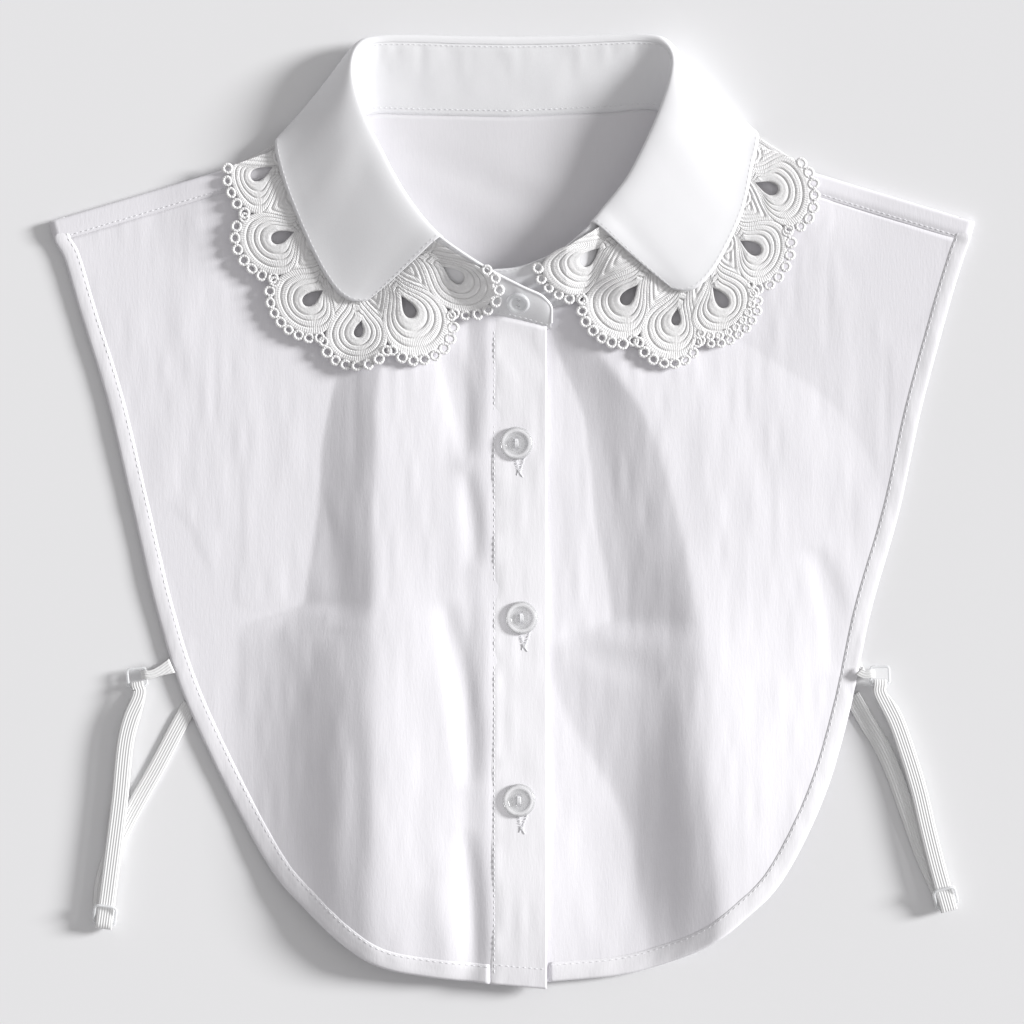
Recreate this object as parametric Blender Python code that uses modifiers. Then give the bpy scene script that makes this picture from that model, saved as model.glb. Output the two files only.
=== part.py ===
"""Detachable shirt collar with a lace edge, laid flat with its fronts up.

The collar sits on a short bib: a back panel that wraps over the shoulders, two fronts with a button placket,
and an elastic strap at each side. +Y runs to the neck, +Z up from the surface that it lies on, and left and
right are those of someone who looks down on it. Tables are in millimetres, and MM turns them into metres.
"""
import math

import bmesh
import bpy
import numpy as np

MM = 0.001

# ---------------------------------------------------------------------------------------------------------
# Driving dimensions
# ---------------------------------------------------------------------------------------------------------
CENTRE = np.array((-0.2, 0.87))        # of the laid-out shape; the origin is put under it

WALL = 1.0                             # cloth, elastic and lace
GAP = 0.3                              # between pieces at seams and layers
LAYER = WALL + GAP + 0.05              # from a panel to the piece that lies on it

BACK_LIFT = 1.5                        # the back rides over the fall and lace that are tucked under it
BACK_INSET = 4.0                       # the back's edge lies inside the front's
FLAP_WIDTH = 8.5                       # the back reaches this far over the shoulder onto the front
FLAP_TOP = 2.6
FOLD_STATIONS = 7                      # points along each shoulder fold
FRONT_BASE = FLAP_TOP - WALL           # underside of the right front
NECK_GAP = 0.8                         # from the stand's mid-surface to the panel's edge

PLACKET_LEFT, PLACKET_RIGHT = -9.2, 14.1
UNDERLAP = -9.0                        # centre edge of the right front, under the left one
PLACKET_SWELL = 0.4                    # height of the soft ridge beside the placket
BINDING_TOP, BINDING_HEM = 6.5, 8.0    # width at the shoulder and at the hem

BUTTON, STAND_BUTTON = 13.0, 9.4       # diameters
BUTTON_THICKNESS = 2.4
BUTTON_SPOTS = ((1.5, 28.5), (3.5, -43.0), (2.5, -117.5))   # on the placket
STAND_BUTTON_SPOT = (2.5, 86.6)
BUTTON_SEAT = 0.5                      # from the cloth to the button's underside
ELASTIC = 6.8                          # width

# The body's outline from the shoulder seam down the side to where the hem begins, left and right.
SIDES = (
    # left_x, left_y, right_x, right_y
    (-187.5, 111.0, 187.3, 111.0),
    (-183.5, 103.5, 184.5, 103.0),
    (-177.5, 83.0, 178.5, 83.0),
    (-166.0, 45.5, 167.5, 42.0),
    (-155.5, 0.5, 158.5, 0.5),
    (-146.0, -40.0, 147.0, -40.0),
    (-135.0, -74.5, 138.5, -80.0),
    (-116.5, -114.5, 127.5, -116.5),
    (-99.0, -146.0, 111.0, -149.5),
    (-85.5, -161.5, 96.0, -165.5),
    (-69.5, -176.5, 80.0, -177.5),
    (-55.0, -185.5, 60.0, -185.5),
    (-36.0, -189.7, 42.5, -189.7),
)
HEM_LEFT, HEM_RIGHT = (-192.8, -195.0), (-192.2, -193.5)   # y at the two edges of the centre strip
SHOULDER_TIPS = ((-190.0, 119.5), (189.6, 119.5))
NECK_POINTS = ((-70.6, 154.8), (70.6, 155.6))              # where the shoulder fold meets the neck seam

# The collar, from the middle of the back to the front. Seat: the neck seam. Roll: where the stand ends and
# the fall begins. Edge: the fall's outer edge. On front: 0 where the seat is on the back, 1 on the front.
# Tuck: 0 where the fall lies over the fronts, 1 where it is folded away under the back.
COLLAR_LEFT = (
    # seat_x, seat_y, on_front, roll_x, roll_y, roll_z, edge_x, edge_y, edge_z, tuck
    (0.0, 162.8, 0.0, 0.0, 192.0, 7.0, 0.0, 156.0, 0.5, 1.0),
    (-22.0, 163.2, 0.0, -22.0, 192.4, 7.0, -30.0, 156.3, 0.5, 1.0),
    (-42.0, 163.6, 0.0, -41.0, 193.0, 7.2, -57.0, 157.0, 0.5, 1.0),
    (-56.5, 164.0, 0.0, -54.5, 192.8, 8.0, -76.0, 157.0, 0.5, 1.0),
    (-64.0, 162.0, 0.2, -62.0, 190.6, 10.5, -88.5, 155.0, 0.5, 0.9),
    (-68.5, 157.0, 0.6, -65.2, 184.6, 13.2, -97.0, 152.4, 6.4, 0.4),
    (-70.0, 147.0, 1.0, -64.8, 174.5, 15.8, -94.8, 139.0, 8.8, 0.1),
    (-66.5, 133.0, 1.0, -60.3, 161.0, 16.9, -88.4, 121.5, 9.0, 0.0),
    (-59.0, 118.5, 1.0, -54.0, 148.5, 17.1, -80.0, 103.0, 8.7, 0.0),
    (-51.5, 107.0, 1.0, -48.0, 137.0, 16.9, -73.0, 91.8, 8.4, 0.0),
    (-44.5, 99.0, 1.0, -41.8, 127.0, 16.6, -67.6, 87.4, 8.2, 0.0),
    (-37.0, 92.8, 1.0, -34.8, 118.0, 16.4, -63.0, 86.6, 8.0, 0.0),
    (-31.0, 88.8, 1.0, -28.5, 111.8, 16.7, -59.1, 87.1, 8.0, 0.0),
)
COLLAR_RIGHT = (
    # seat_x, seat_y, on_front, roll_x, roll_y, roll_z, edge_x, edge_y, edge_z, tuck
    (0.0, 162.8, 0.0, 0.0, 192.0, 7.0, 0.0, 156.0, 0.5, 1.0),
    (22.0, 163.8, 0.0, 22.0, 192.4, 7.0, 30.0, 156.5, 0.5, 1.0),
    (41.0, 164.8, 0.0, 40.5, 193.2, 7.2, 57.0, 157.5, 0.5, 1.0),
    (55.0, 166.0, 0.0, 53.5, 193.4, 8.0, 77.0, 158.0, 0.5, 1.0),
    (63.0, 164.0, 0.2, 61.5, 191.6, 10.5, 90.5, 157.0, 0.5, 0.9),
    (68.5, 158.0, 0.6, 65.2, 185.6, 13.2, 100.5, 155.2, 6.4, 0.4),
    (69.6, 148.0, 1.0, 64.2, 176.0, 15.8, 98.2, 141.0, 8.8, 0.1),
    (66.5, 134.5, 1.0, 59.6, 162.5, 16.9, 94.2, 123.0, 9.0, 0.0),
    (59.5, 120.5, 1.0, 53.8, 149.5, 17.1, 86.5, 106.0, 8.7, 0.0),
    (52.5, 109.0, 1.0, 47.6, 137.5, 16.9, 80.6, 97.0, 8.4, 0.0),
    (46.0, 101.5, 1.0, 42.6, 130.5, 16.8, 75.4, 92.2, 8.2, 0.0),
    (39.5, 95.8, 1.0, 37.2, 124.0, 16.6, 70.6, 91.0, 8.0, 0.0),
    (33.5, 91.8, 1.0, 31.8, 117.6, 17.0, 65.6, 91.8, 8.0, 0.0),
)
# The stand goes on past the fall: a tab on the left, and on the right an end that lies under it.
TAB_LEFT = (
    # seat_x, seat_y, roll_x, roll_y, roll_z
    (-20.0, 84.8, -19.0, 105.2, 16.6),
    (-8.5, 82.0, -7.5, 98.2, 15.8),
    (5.5, 79.0, 4.8, 92.0, 15.2),
    (12.2, 77.2, 11.8, 88.9, 14.8),
    (15.8, 76.6, 16.0, 84.6, 12.2),
)
TAB_RIGHT = (
    # seat_x, seat_y, roll_x, roll_y, roll_z
    (22.0, 86.4, 20.4, 107.8, 15.4),
    (14.6, 84.6, 13.6, 104.6, 14.2),
    (2.5, 84.2, 2.6, 100.6, 13.0),
    (-9.0, 84.6, -8.6, 99.4, 12.2),
)

# Long folds of the fronts. The crest runs down the table, with a steep side to its left and a long gentle one
# to its right that carries on over the placket.
FOLD_LEFT = (
    # y, crest_x, left_width, right_width, height
    (88.0, -46.0, 12.0, 30.0, 0.0),
    (62.0, -53.0, 16.0, 62.0, 3.2),
    (30.0, -56.0, 20.0, 84.0, 5.4),
    (0.0, -56.0, 22.0, 92.0, 6.0),
    (-28.0, -56.0, 26.0, 98.0, 7.2),
    (-50.0, -56.0, 28.0, 100.0, 10.2),
    (-85.0, -56.0, 30.0, 100.0, 13.2),
    (-130.0, -56.0, 30.0, 100.0, 13.6),
    (-165.0, -56.0, 28.0, 96.0, 11.6),
    (-198.0, -56.0, 26.0, 90.0, 3.4),
)
FOLD_RIGHT = (
    # y, crest_x, left_width, right_width, height
    (88.0, 22.0, 8.0, 40.0, 0.0),
    (66.0, 36.0, 16.0, 60.0, 3.2),
    (40.0, 55.0, 24.0, 74.0, 4.8),
    (0.0, 68.0, 32.0, 80.0, 6.0),
    (-30.0, 74.0, 32.0, 70.0, 7.6),
    (-60.0, 78.0, 34.0, 56.0, 9.6),
    (-95.0, 80.0, 34.0, 57.0, 10.0),
    (-135.0, 83.0, 32.0, 66.0, 10.0),
    (-165.0, 85.0, 28.0, 54.0, 7.8),
    (-198.0, 84.0, 24.0, 40.0, 2.4),
)
FOLD_CREST = 0.09                      # rounding of the crest, as a share of the fold's width
FOLD_STEEP = 1.15                      # power that eases the left foot out, above the knee
# Below its knee a fold's left side spreads out.
KNEE_LEFT = {"start": 36.0, "end": 48.0, "extra": 25.0, "gone": 900.0, "power": 1.6, "gentle": 1.2}
KNEE_RIGHT = {"start": 43.0, "end": 55.0, "extra": 26.0, "gone": 135.0, "power": 1.25, "gentle": 1.05}

# Lace: the spokes between the scallops, from the fall's edge to the notch, and each scallop's tip and eye.
LACE_LEFT = {
    "base": ((-95.2, 149.6), (-88.4, 130.5), (-80.6, 111.0), (-70.4, 95.6), (-59.6, 93.4),
             (-44.4, 105.0), (-37.0, 108.8)),
    "notch": ((-117.6, 141.2), (-110.3, 120.5), (-97.9, 94.2), (-77.8, 69.8), (-49.6, 65.6),
              (-24.2, 80.4), (-9.8, 99.2)),
    "tip": ((-118.2, 131.6), (-114.6, 106.2), (-97.8, 77.6), (-67.3, 58.0), (-30.4, 62.4), (-5.4, 84.2)),
    "eye": ((-102.7, 139.4), (-94.1, 113.4), (-81.6, 88.5), (-62.8, 75.4), (-43.0, 84.5), (-24.2, 97.6)),
}
LACE_RIGHT = {
    "base": ((98.6, 151.4), (93.6, 129.0), (86.4, 109.8), (76.6, 98.2), (66.0, 98.0), (47.6, 111.0),
             (40.2, 115.0)),
    "notch": ((119.3, 143.8), (113.4, 115.6), (99.6, 90.3), (75.4, 69.2), (49.8, 69.4),
              (28.0, 87.0), (8.4, 101.2)),
    "tip": ((125.6, 124.9), (113.8, 99.4), (95.8, 73.0), (64.4, 58.6), (32.8, 71.2), (14.5, 89.0)),
    "eye": ((103.9, 133.5), (97.3, 109.1), (84.8, 88.5), (67.1, 80.4), (48.0, 89.5), (31.7, 104.8)),
}
ROLL_REACH = 6.2                       # how far the fall goes on upward before it turns over
EYE_LENGTH, EYE_WIDTH = 9.0, 5.6       # the drop-shaped hole in each scallop
CURL_LENGTH, CURL_WIDTH = 6.0, 4.2     # the smaller one at the collar's points
CURL = 3                               # index of the scallop at the point
RIB_RINGS = (0.0, 0.2, 0.42, 0.64, 0.86, 1.0)   # from the hole out to the scallop's edge
RIB_RISE = (0.3, 0.0, 0.75, 0.0, 0.75, 0.0)
LACE_DROP = 2.45                       # lace's underside below the fall's mid-surface at the seam
LACE_HOVER = 2.6                       # lace's underside above the cloth at the scallops' tips
BACK_SCALLOPS = 8
BACK_RINGS = (0.0, 0.5, 1.0)
BACK_NOTCH, BACK_LACE = 23.0, 27.0     # depth of the lace under the back, at its notches and its tips
LOOP_STEPS = {"base": 4, "spoke": 2, "border": 8}   # divisions of a scallop's outline

# Straps, each path as seen from above. The ring's foot is the bar that the loop hangs on, and its side bar
# holds the tab. A loop runs from the ring to the slider, an anchor from the back's edge to the slider.
RINGS = {
    # x, y, direction of the foot in degrees from +X, side that the tab comes from
    "left": (-154.0, -67.4, -84.0, 1.0),
    "right": (150.6, -66.6, -88.0, -1.0),
}
RING_LENGTH, RING_WIDTH, RING_CORNER = 7.2, 7.6, 1.2       # to the middle of the wire
WIRE = 0.6                                                # radius of the ring's and slider's bars
LOOP_PATHS = {
    "left": ((-158.4, -92.0), (-161.2, -118.0), (-163.8, -139.0), (-166.6, -161.0), (-167.6, -168.6)),
    "right": ((156.6, -84.0), (162.0, -99.0), (166.5, -114.0), (170.0, -129.0), (174.0, -145.0),
              (178.6, -161.4)),
}
ANCHOR_PATHS = {
    "left": ((-132.0, -78.6), (-136.5, -86.0), (-146.5, -105.0), (-153.5, -117.5), (-161.0, -132.0),
             (-166.8, -147.0), (-168.8, -158.0), (-168.2, -165.6)),
    "right": ((139.2, -75.0), (144.9, -85.0), (151.6, -96.0), (156.8, -107.5), (162.0, -122.0),
              (168.4, -140.0), (174.6, -154.0), (176.6, -161.0)),
}
TAB_STARTS = {"left": (-136.8, -61.4), "right": (139.9, -62.4)}
TAB_UNDER = 3.0                                            # how far the tab lies under the front
LOOP_WAIST = 5.2                                           # width of the loop inside the ring
TAB_WAIST, TAB_OFFSET = 3.4, 0.8                           # width at the ring, and how far up its side
ANCHOR_Z, REAR_Z, WIRE_Z, FRONT_Z = 0.5, 1.8, 3.4, 5.0    # mid-heights of the strap's layers
SLIDER_LENGTH, SLIDER_WIDTH, SLIDER_CORNER = 7.6, 8.8, 1.6


# ---------------------------------------------------------------------------------------------------------
# Small tools
# ---------------------------------------------------------------------------------------------------------
def ramp(value, start, end):
    """0 before start, 1 after end, and smooth between."""
    share = np.clip((np.asarray(value, float) - start) / (end - start), 0.0, 1.0)
    return share * share * (3.0 - 2.0 * share)


def mix(a, b, share):
    """From a to b by the given share."""
    return a + (b - a) * share


def unit(vector):
    """The vector at length 1."""
    return vector / np.linalg.norm(vector, axis=-1, keepdims=True)


def column_of(values):
    """Values as a column, to scale rows of points."""
    return np.asarray(values, float)[:, None]


def turned(vectors):
    """Plan vectors turned a quarter to the left."""
    return np.stack((-vectors[..., 1], vectors[..., 0]), axis=-1)


def smooth_rows(rows, count, even=True, crowd=1.0):
    """The table's rows at count stations of a smooth curve through them.

    Stations are even along the curve, or even from row to row where even is False, and a crowd over 1
    draws them towards the first row.
    """
    rows = np.array(rows, float)
    knots = np.vstack((2 * rows[0] - rows[1], rows, 2 * rows[-1] - rows[-2]))
    share = np.linspace(0.0, 1.0, 17)[:-1, None]
    spans = []
    for a, b, c, d in zip(knots, knots[1:], knots[2:], knots[3:]):
        spans.append(0.5 * (2 * b + (c - a) * share + (2 * a - 5 * b + 4 * c - d) * share**2
                            + (3 * b - a - 3 * c + d) * share**3))
    dense = np.vstack(spans + [rows[-1:]])
    steps = np.linalg.norm(np.diff(dense, axis=0), axis=1) if even else np.ones(len(dense) - 1)
    travel = np.concatenate(([0.0], np.cumsum(steps)))
    wanted = travel[-1] * np.linspace(0.0, 1.0, count)**crowd
    return np.stack([np.interp(wanted, travel, dense[:, k]) for k in range(rows.shape[1])], axis=1)


def bezier(points, shares):
    """Points of a Bezier curve; points is a list of arrays (n, 3), and the result is (n, shares, 3)."""
    degree = len(points) - 1
    total = 0.0
    for k, point in enumerate(points):
        weight = math.comb(degree, k) * shares**k * (1.0 - shares)**(degree - k)
        total = total + weight[None, :, None] * point[:, None, :]
    return total


def raised(points, heights):
    """Plan points (..., 2) with their heights as a third coordinate."""
    return np.concatenate((points, np.asarray(heights)[..., None]), axis=-1)


# ---------------------------------------------------------------------------------------------------------
# Objects
# ---------------------------------------------------------------------------------------------------------
def clear_scene():
    """Remove every object of the open scene."""
    for item in list(bpy.data.objects):
        bpy.data.objects.remove(item, do_unlink=True)


def new_collection(name):
    """A collection under the scene's own."""
    collection = bpy.data.collections.new(name)
    bpy.context.scene.collection.children.link(collection)
    return collection


def material(name, colour, roughness, sheen=0.0, transmission=0.0):
    """A Principled material."""
    result = bpy.data.materials.new(name)
    result.use_nodes = True
    shader = result.node_tree.nodes["Principled BSDF"]
    shader.inputs["Base Color"].default_value = (*colour, 1.0)
    shader.inputs["Roughness"].default_value = roughness
    shader.inputs["Metallic"].default_value = 0.0
    shader.inputs["Sheen Weight"].default_value = sheen
    shader.inputs["Transmission Weight"].default_value = transmission
    return result


def crepe(name):
    """Matt crinkled cloth of the bib."""
    return material(name, (0.80, 0.79, 0.82), 0.85, sheen=0.2)


def plain_weave(name):
    """Smooth cloth of the collar."""
    return material(name, (0.83, 0.83, 0.84), 0.8, sheen=0.15)


def lace_thread(name):
    """Cotton thread of the lace."""
    return material(name, (0.85, 0.85, 0.86), 0.7, sheen=0.1)


def elastic_band(name):
    """Woven elastic."""
    return material(name, (0.84, 0.84, 0.83), 0.75)


def clear_plastic(name):
    """Clear moulded plastic of the buttons, rings and sliders."""
    return material(name, (0.88, 0.88, 0.90), 0.15, transmission=0.6)


def finish(name, mesh, look, place):
    """An object of the mesh in the given collection, with a material of its own."""
    item = bpy.data.objects.new(name, mesh)
    item.data.materials.append(look(name))
    place.objects.link(item)
    return item


def add_grid(bm, points, layer=None, values=None):
    """A grid whose vertices are moved to the points (n, m, 3) in mm; a layer keeps a value for each."""
    across, along = points.shape[0] - 1, points.shape[1] - 1
    made = bmesh.ops.create_grid(bm, x_segments=across, y_segments=along, size=0.5)["verts"]
    for vert in made:
        i = round((vert.co.x + 0.5) * across)
        j = round((vert.co.y + 0.5) * along)
        x, y, z = points[i, j]
        vert.co = ((x - CENTRE[0]) * MM, (y - CENTRE[1]) * MM, z * MM)
        if layer is not None:
            vert[layer] = values[i, j]


def join_grids(bm, smallest=0.02):
    """Weld the grids' shared edges and turn all faces the same way, with most of them facing up."""
    bmesh.ops.remove_doubles(bm, verts=bm.verts, dist=smallest * MM)
    bmesh.ops.recalc_face_normals(bm, faces=bm.faces)
    if sum(face.normal.z * face.calc_area() for face in bm.faces) < 0.0:
        bmesh.ops.reverse_faces(bm, faces=bm.faces)


def cloth(name, grids, look, place, centred=False):
    """A wall of cloth: grids welded to one surface and thickened upward, or both ways where centred."""
    bm = bmesh.new()
    for points in grids:
        add_grid(bm, points)
    join_grids(bm)
    mesh = bpy.data.meshes.new(name)
    bm.to_mesh(mesh)
    bm.free()
    mesh.shade_smooth()
    item = finish(name, mesh, look, place)
    wall = item.modifiers.new("wall", "SOLIDIFY")
    wall.thickness = WALL * MM
    wall.offset = 0.0 if centred else 1.0
    wall.use_even_offset = True
    wall.use_quality_normals = True
    return item


def ribbed_lace(name, grids, rises, look, place):
    """Lace: welded grids with a plain underside, whose upper side is raised by each point's own rise."""
    bm = bmesh.new()
    rise_layer = bm.verts.layers.float.new("rise")
    for points, rise in zip(grids, rises):
        add_grid(bm, points, rise_layer, rise)
    join_grids(bm)
    upper = bmesh.ops.extrude_face_region(bm, geom=bm.faces[:])["geom"]
    for part in upper:
        if isinstance(part, bmesh.types.BMVert):
            part.co.z += (WALL + part[rise_layer]) * MM
    bmesh.ops.recalc_face_normals(bm, faces=bm.faces)
    mesh = bpy.data.meshes.new(name)
    bm.to_mesh(mesh)
    bm.free()
    mesh.set_sharp_from_angle(angle=math.radians(50))
    return finish(name, mesh, look, place)


# ---------------------------------------------------------------------------------------------------------
# Heights of the laid-out cloth, all in mm and all for arrays of plan points
# ---------------------------------------------------------------------------------------------------------
def back_height(x, y):
    """Underside of the back: on the ground, and raised where the fall and its lace lie under it."""
    return BACK_LIFT * ramp(y, 96.0, 124.0) * ramp(-np.abs(x), -150.0, -120.0)


def fold_height(x, y, table, knee):
    """A long fold whose crest, widths and height are read from the table at the point's y.

    The knee says how far down the table, as -y, the left side has begun to spread, has spread by the extra,
    and has gone back, with the powers that ease out the left foot below it and the right foot.
    """
    rows = smooth_rows(table[::-1], 60, even=False)
    crest, left, right, height = (np.interp(y, rows[:, 0], rows[:, k]) for k in (1, 2, 3, 4))
    below = ramp(-y, knee["start"], knee["end"])
    left = left + knee["extra"] * below * (1.0 - ramp(-y, knee["end"], knee["gone"]))
    reach = (x - crest) / np.where(x < crest, left, right)
    away = np.sqrt(reach**2 + FOLD_CREST**2) - FOLD_CREST
    power = np.where(x < crest, mix(FOLD_STEEP, knee["power"], below), knee["gentle"])
    return height * np.clip(1.0 - away, 0.0, 1.0)**power


def folds(x, y):
    """The fronts' long folds together."""
    return fold_height(x, y, FOLD_LEFT, KNEE_LEFT) + fold_height(x, y, FOLD_RIGHT, KNEE_RIGHT)


def front_height(x, y, side):
    """Underside of a front."""
    level = FRONT_BASE + back_height(x, y) + folds(x, y)
    if side == "left":
        over = LAYER * ramp(x, -42.0, -16.0)
        swell = PLACKET_SWELL * np.exp(-((x + 20.0 - 0.05 * y) / 7.0)**2) * ramp(-y, -60.0, -20.0)
        return level + over + swell
    return level


# ---------------------------------------------------------------------------------------------------------
# Panels
# ---------------------------------------------------------------------------------------------------------
def front_outline(side):
    """Outer and neck points of a front's rays, from the shoulder seam round the hem to the centre edge.

    The last four rays are upright and carry the placket on the left, or lie under it on the right.
    """
    rays = 25
    rows = np.array(SIDES)
    if side == "left":
        stop, end, hem = PLACKET_LEFT, PLACKET_RIGHT, HEM_LEFT
        outer = np.vstack((rows[:, 0:2], (stop, hem[0])))
        seats = np.array([row[:2] for row in COLLAR_LEFT[6:] + TAB_LEFT])
    else:
        stop, end, hem = PLACKET_RIGHT + 0.5, UNDERLAP, HEM_RIGHT
        outer = np.vstack((rows[:, 2:4], (stop, hem[0])))
        seats = np.array([row[:2] for row in COLLAR_RIGHT[6:] + TAB_RIGHT])
    outer = smooth_rows(outer, rays)
    neck = smooth_rows(seats, 200)
    ahead = unit(np.gradient(neck, axis=0))
    neck = neck + turned(ahead) * NECK_GAP * (-1.0 if side == "left" else 1.0)
    reach = np.argmin(np.abs(neck[:, 0] - stop))
    inner = smooth_rows(neck[:reach + 1:6], rays)
    inner[-1] = neck[reach]
    xs = np.linspace(stop, end, 4)[1:]
    hem_ys = np.linspace(hem[0], hem[1], 4)[1:]
    order = np.argsort(neck[:, 0])
    neck_ys = np.interp(xs, neck[order, 0], neck[order, 1])
    outer = np.vstack((outer, np.stack((xs, hem_ys), axis=1)))
    inner = np.vstack((inner, np.stack((xs, neck_ys), axis=1)))
    inner[0] = (-71.4, 145.6) if side == "left" else (71.4, 146.4)
    return outer, inner


def front_grid(side):
    """A front's underside as rays from its outline, through the binding's inner edge, to the neck."""
    outer, inner = front_outline(side)
    strip = 4
    ahead = unit(np.gradient(outer[:-strip + 1], axis=0))
    inward = turned(ahead) * (1.0 if side == "left" else -1.0)
    inward = np.vstack((inward, np.tile((0.0, 1.0), (strip - 1, 1))))
    inward[0] = unit(inner[0] - outer[0])
    inward[-strip] = (0.0, 1.0)
    width = np.linspace(BINDING_TOP, BINDING_HEM, len(outer))
    first = outer + inward * column_of(width)
    shares = np.concatenate(([0.0], np.linspace(0.0, 1.0, 13)[1:]))
    plan = np.stack([mix(first, inner, share) for share in shares], axis=1)
    plan = np.concatenate((outer[:, None], plan), axis=1)
    return raised(plan, front_height(plan[..., 0], plan[..., 1], side))


def coons(top, bottom, left, right):
    """Grid points inside four edge curves that share their corners: top and bottom across, sides down."""
    u = np.linspace(0.0, 1.0, len(top))[:, None, None]
    v = np.linspace(0.0, 1.0, len(left))[None, :, None]
    along = mix(top[:, None], bottom[:, None], v)
    down = mix(left[None], right[None], u)
    corners = mix(mix(top[0], top[-1], u), mix(bottom[0], bottom[-1], u), v)
    return along + down - corners


def back_outline():
    """The back's edges: fold and neck across the top, the two sides, and the hem."""
    tips, necks = np.array(SHOULDER_TIPS), np.array(NECK_POINTS)
    seats = [row[:2] for row in COLLAR_LEFT[4:0:-1]] + [row[:2] for row in COLLAR_RIGHT[:5]]
    seats = np.array(seats) - (0.0, NECK_GAP)
    folds = [np.linspace(tip, neck, FOLD_STATIONS) for tip, neck in zip(tips, necks)]
    across = smooth_rows(np.vstack((necks[:1], seats, necks[1:])), 12)
    top = np.vstack((folds[0], across[1:-1], folds[1][::-1]))
    rows = np.array(SIDES)
    turn = 8
    sides = []
    for tip, points, sign in ((tips[0], rows[:, 0:2], 1.0), (tips[1], rows[:, 2:4], -1.0)):
        edge = smooth_rows(points[:turn + 1], 40)
        edge = edge + turned(unit(np.gradient(edge, axis=0))) * sign * BACK_INSET
        sides.append(smooth_rows(np.vstack((tip, edge[5::6])), 11, crowd=1.35))
    hem = np.vstack((rows[turn + 1:, 0:2] + (2.0, BACK_INSET), (0.0, -193.0 + BACK_INSET),
                     rows[:turn:-1, 2:4] + (-2.0, BACK_INSET)))
    bottom = smooth_rows(np.vstack((sides[0][-1], hem, sides[1][-1])), len(top))
    return top, bottom, sides[0], sides[1]


def shoulder_flap(fold, last):
    """The strip that turns over a shoulder fold; last is its direction at the neck."""
    radius = FLAP_TOP / 2.0
    square = turned(unit(fold[-1] - fold[0])[None])[0]
    square = -square if square[1] > 0 else square
    lean = np.linspace(0.0, 1.0, len(fold))[:, None]**3
    inward = unit(mix(square, np.array(last), lean))
    level = back_height(fold[:, 0], fold[:, 1])
    rows = []
    for angle in np.linspace(0.0, math.pi, 6):
        plan = fold - inward * radius * math.sin(angle)
        rows.append(raised(plan, level + radius * (1.0 - math.cos(angle))))
    for reach in (0.5, 1.0):
        plan = fold + inward * FLAP_WIDTH * reach
        rows.append(raised(plan, back_height(plan[:, 0], plan[:, 1]) + FLAP_TOP))
    return np.stack(rows, axis=1)


def back_panel(place):
    """The back, its inside up, with the two shoulder flaps that lie on the fronts' side."""
    top, bottom, left, right = back_outline()
    plan = coons(top, bottom, left, right)
    panel = raised(plan, back_height(plan[..., 0], plan[..., 1]))
    flaps = [shoulder_flap(top[:FOLD_STATIONS], (-0.04, -1.0)),
             shoulder_flap(top[:-FOLD_STATIONS - 1:-1], (0.04, -1.0))]
    cloth("back_panel", [panel] + flaps, crepe, place)


def binding_grid(front, side):
    """The turned edge: a front's own outline points, moved out, and carried up over the shoulder flap."""
    count = len(front) - 3
    strip = front[:count, :2].copy()
    strip[-1] = mix(strip[-1], strip[-2], 0.03)
    tip = np.array(SHOULDER_TIPS[0 if side == "left" else 1])
    neck = np.array(NECK_POINTS[0 if side == "left" else 1])
    inner = tip + unit(neck - tip) * BINDING_TOP
    top = np.array([(*tip, FRONT_BASE), (*inner, FRONT_BASE)])
    strip = np.concatenate((top[None], strip))
    strip[..., 2] += LAYER
    return strip


def placket_grid(front):
    """The button band: the left front's last rays, moved out."""
    strip = front[-4:].copy()
    strip[..., 2] += LAYER
    return strip


# ---------------------------------------------------------------------------------------------------------
# Collar
# ---------------------------------------------------------------------------------------------------------
def seat_height(x, y, on_front, side):
    """Mid-height of the panel's edge that the stand is sewn to."""
    back = back_height(x, y) + WALL / 2.0
    front = front_height(x, y, side) + WALL / 2.0
    return mix(back, front, on_front)


def stand_rows(side):
    """Seat and roll of the stand, from the middle of the back to its front end, as (n, 6)."""
    collar, tab = (COLLAR_LEFT, TAB_LEFT) if side == "left" else (COLLAR_RIGHT, TAB_RIGHT)
    rows = [(row[0], row[1], seat_height(row[0], row[1], row[2], side), *row[3:6]) for row in collar]
    for seat_x, seat_y, roll_x, roll_y, roll_z in tab:
        rows.append((seat_x, seat_y, seat_height(seat_x, seat_y, 1.0, side) + 0.2, roll_x, roll_y, roll_z))
    return np.array(rows)


def stand_half(side):
    """Smooth stations of half the stand, two for each row of its tables."""
    rows = stand_rows(side)
    return smooth_rows(rows, 2 * len(rows) - 1, even=False)


def stand_middle(seat, roll):
    """Control point that bows the stand outward a little."""
    return mix(seat, roll, 0.5) + np.array((0.0, 0.0, 0.8))


def stand_grid():
    """The stand's mid-surface, from the left tab round the back to the right end."""
    rows = np.vstack((stand_half("left")[::-1], stand_half("right")[1:]))
    seat, roll = rows[:, :3], rows[:, 3:]
    return bezier([seat, stand_middle(seat, roll), roll], np.linspace(0.0, 1.0, 4))


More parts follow.
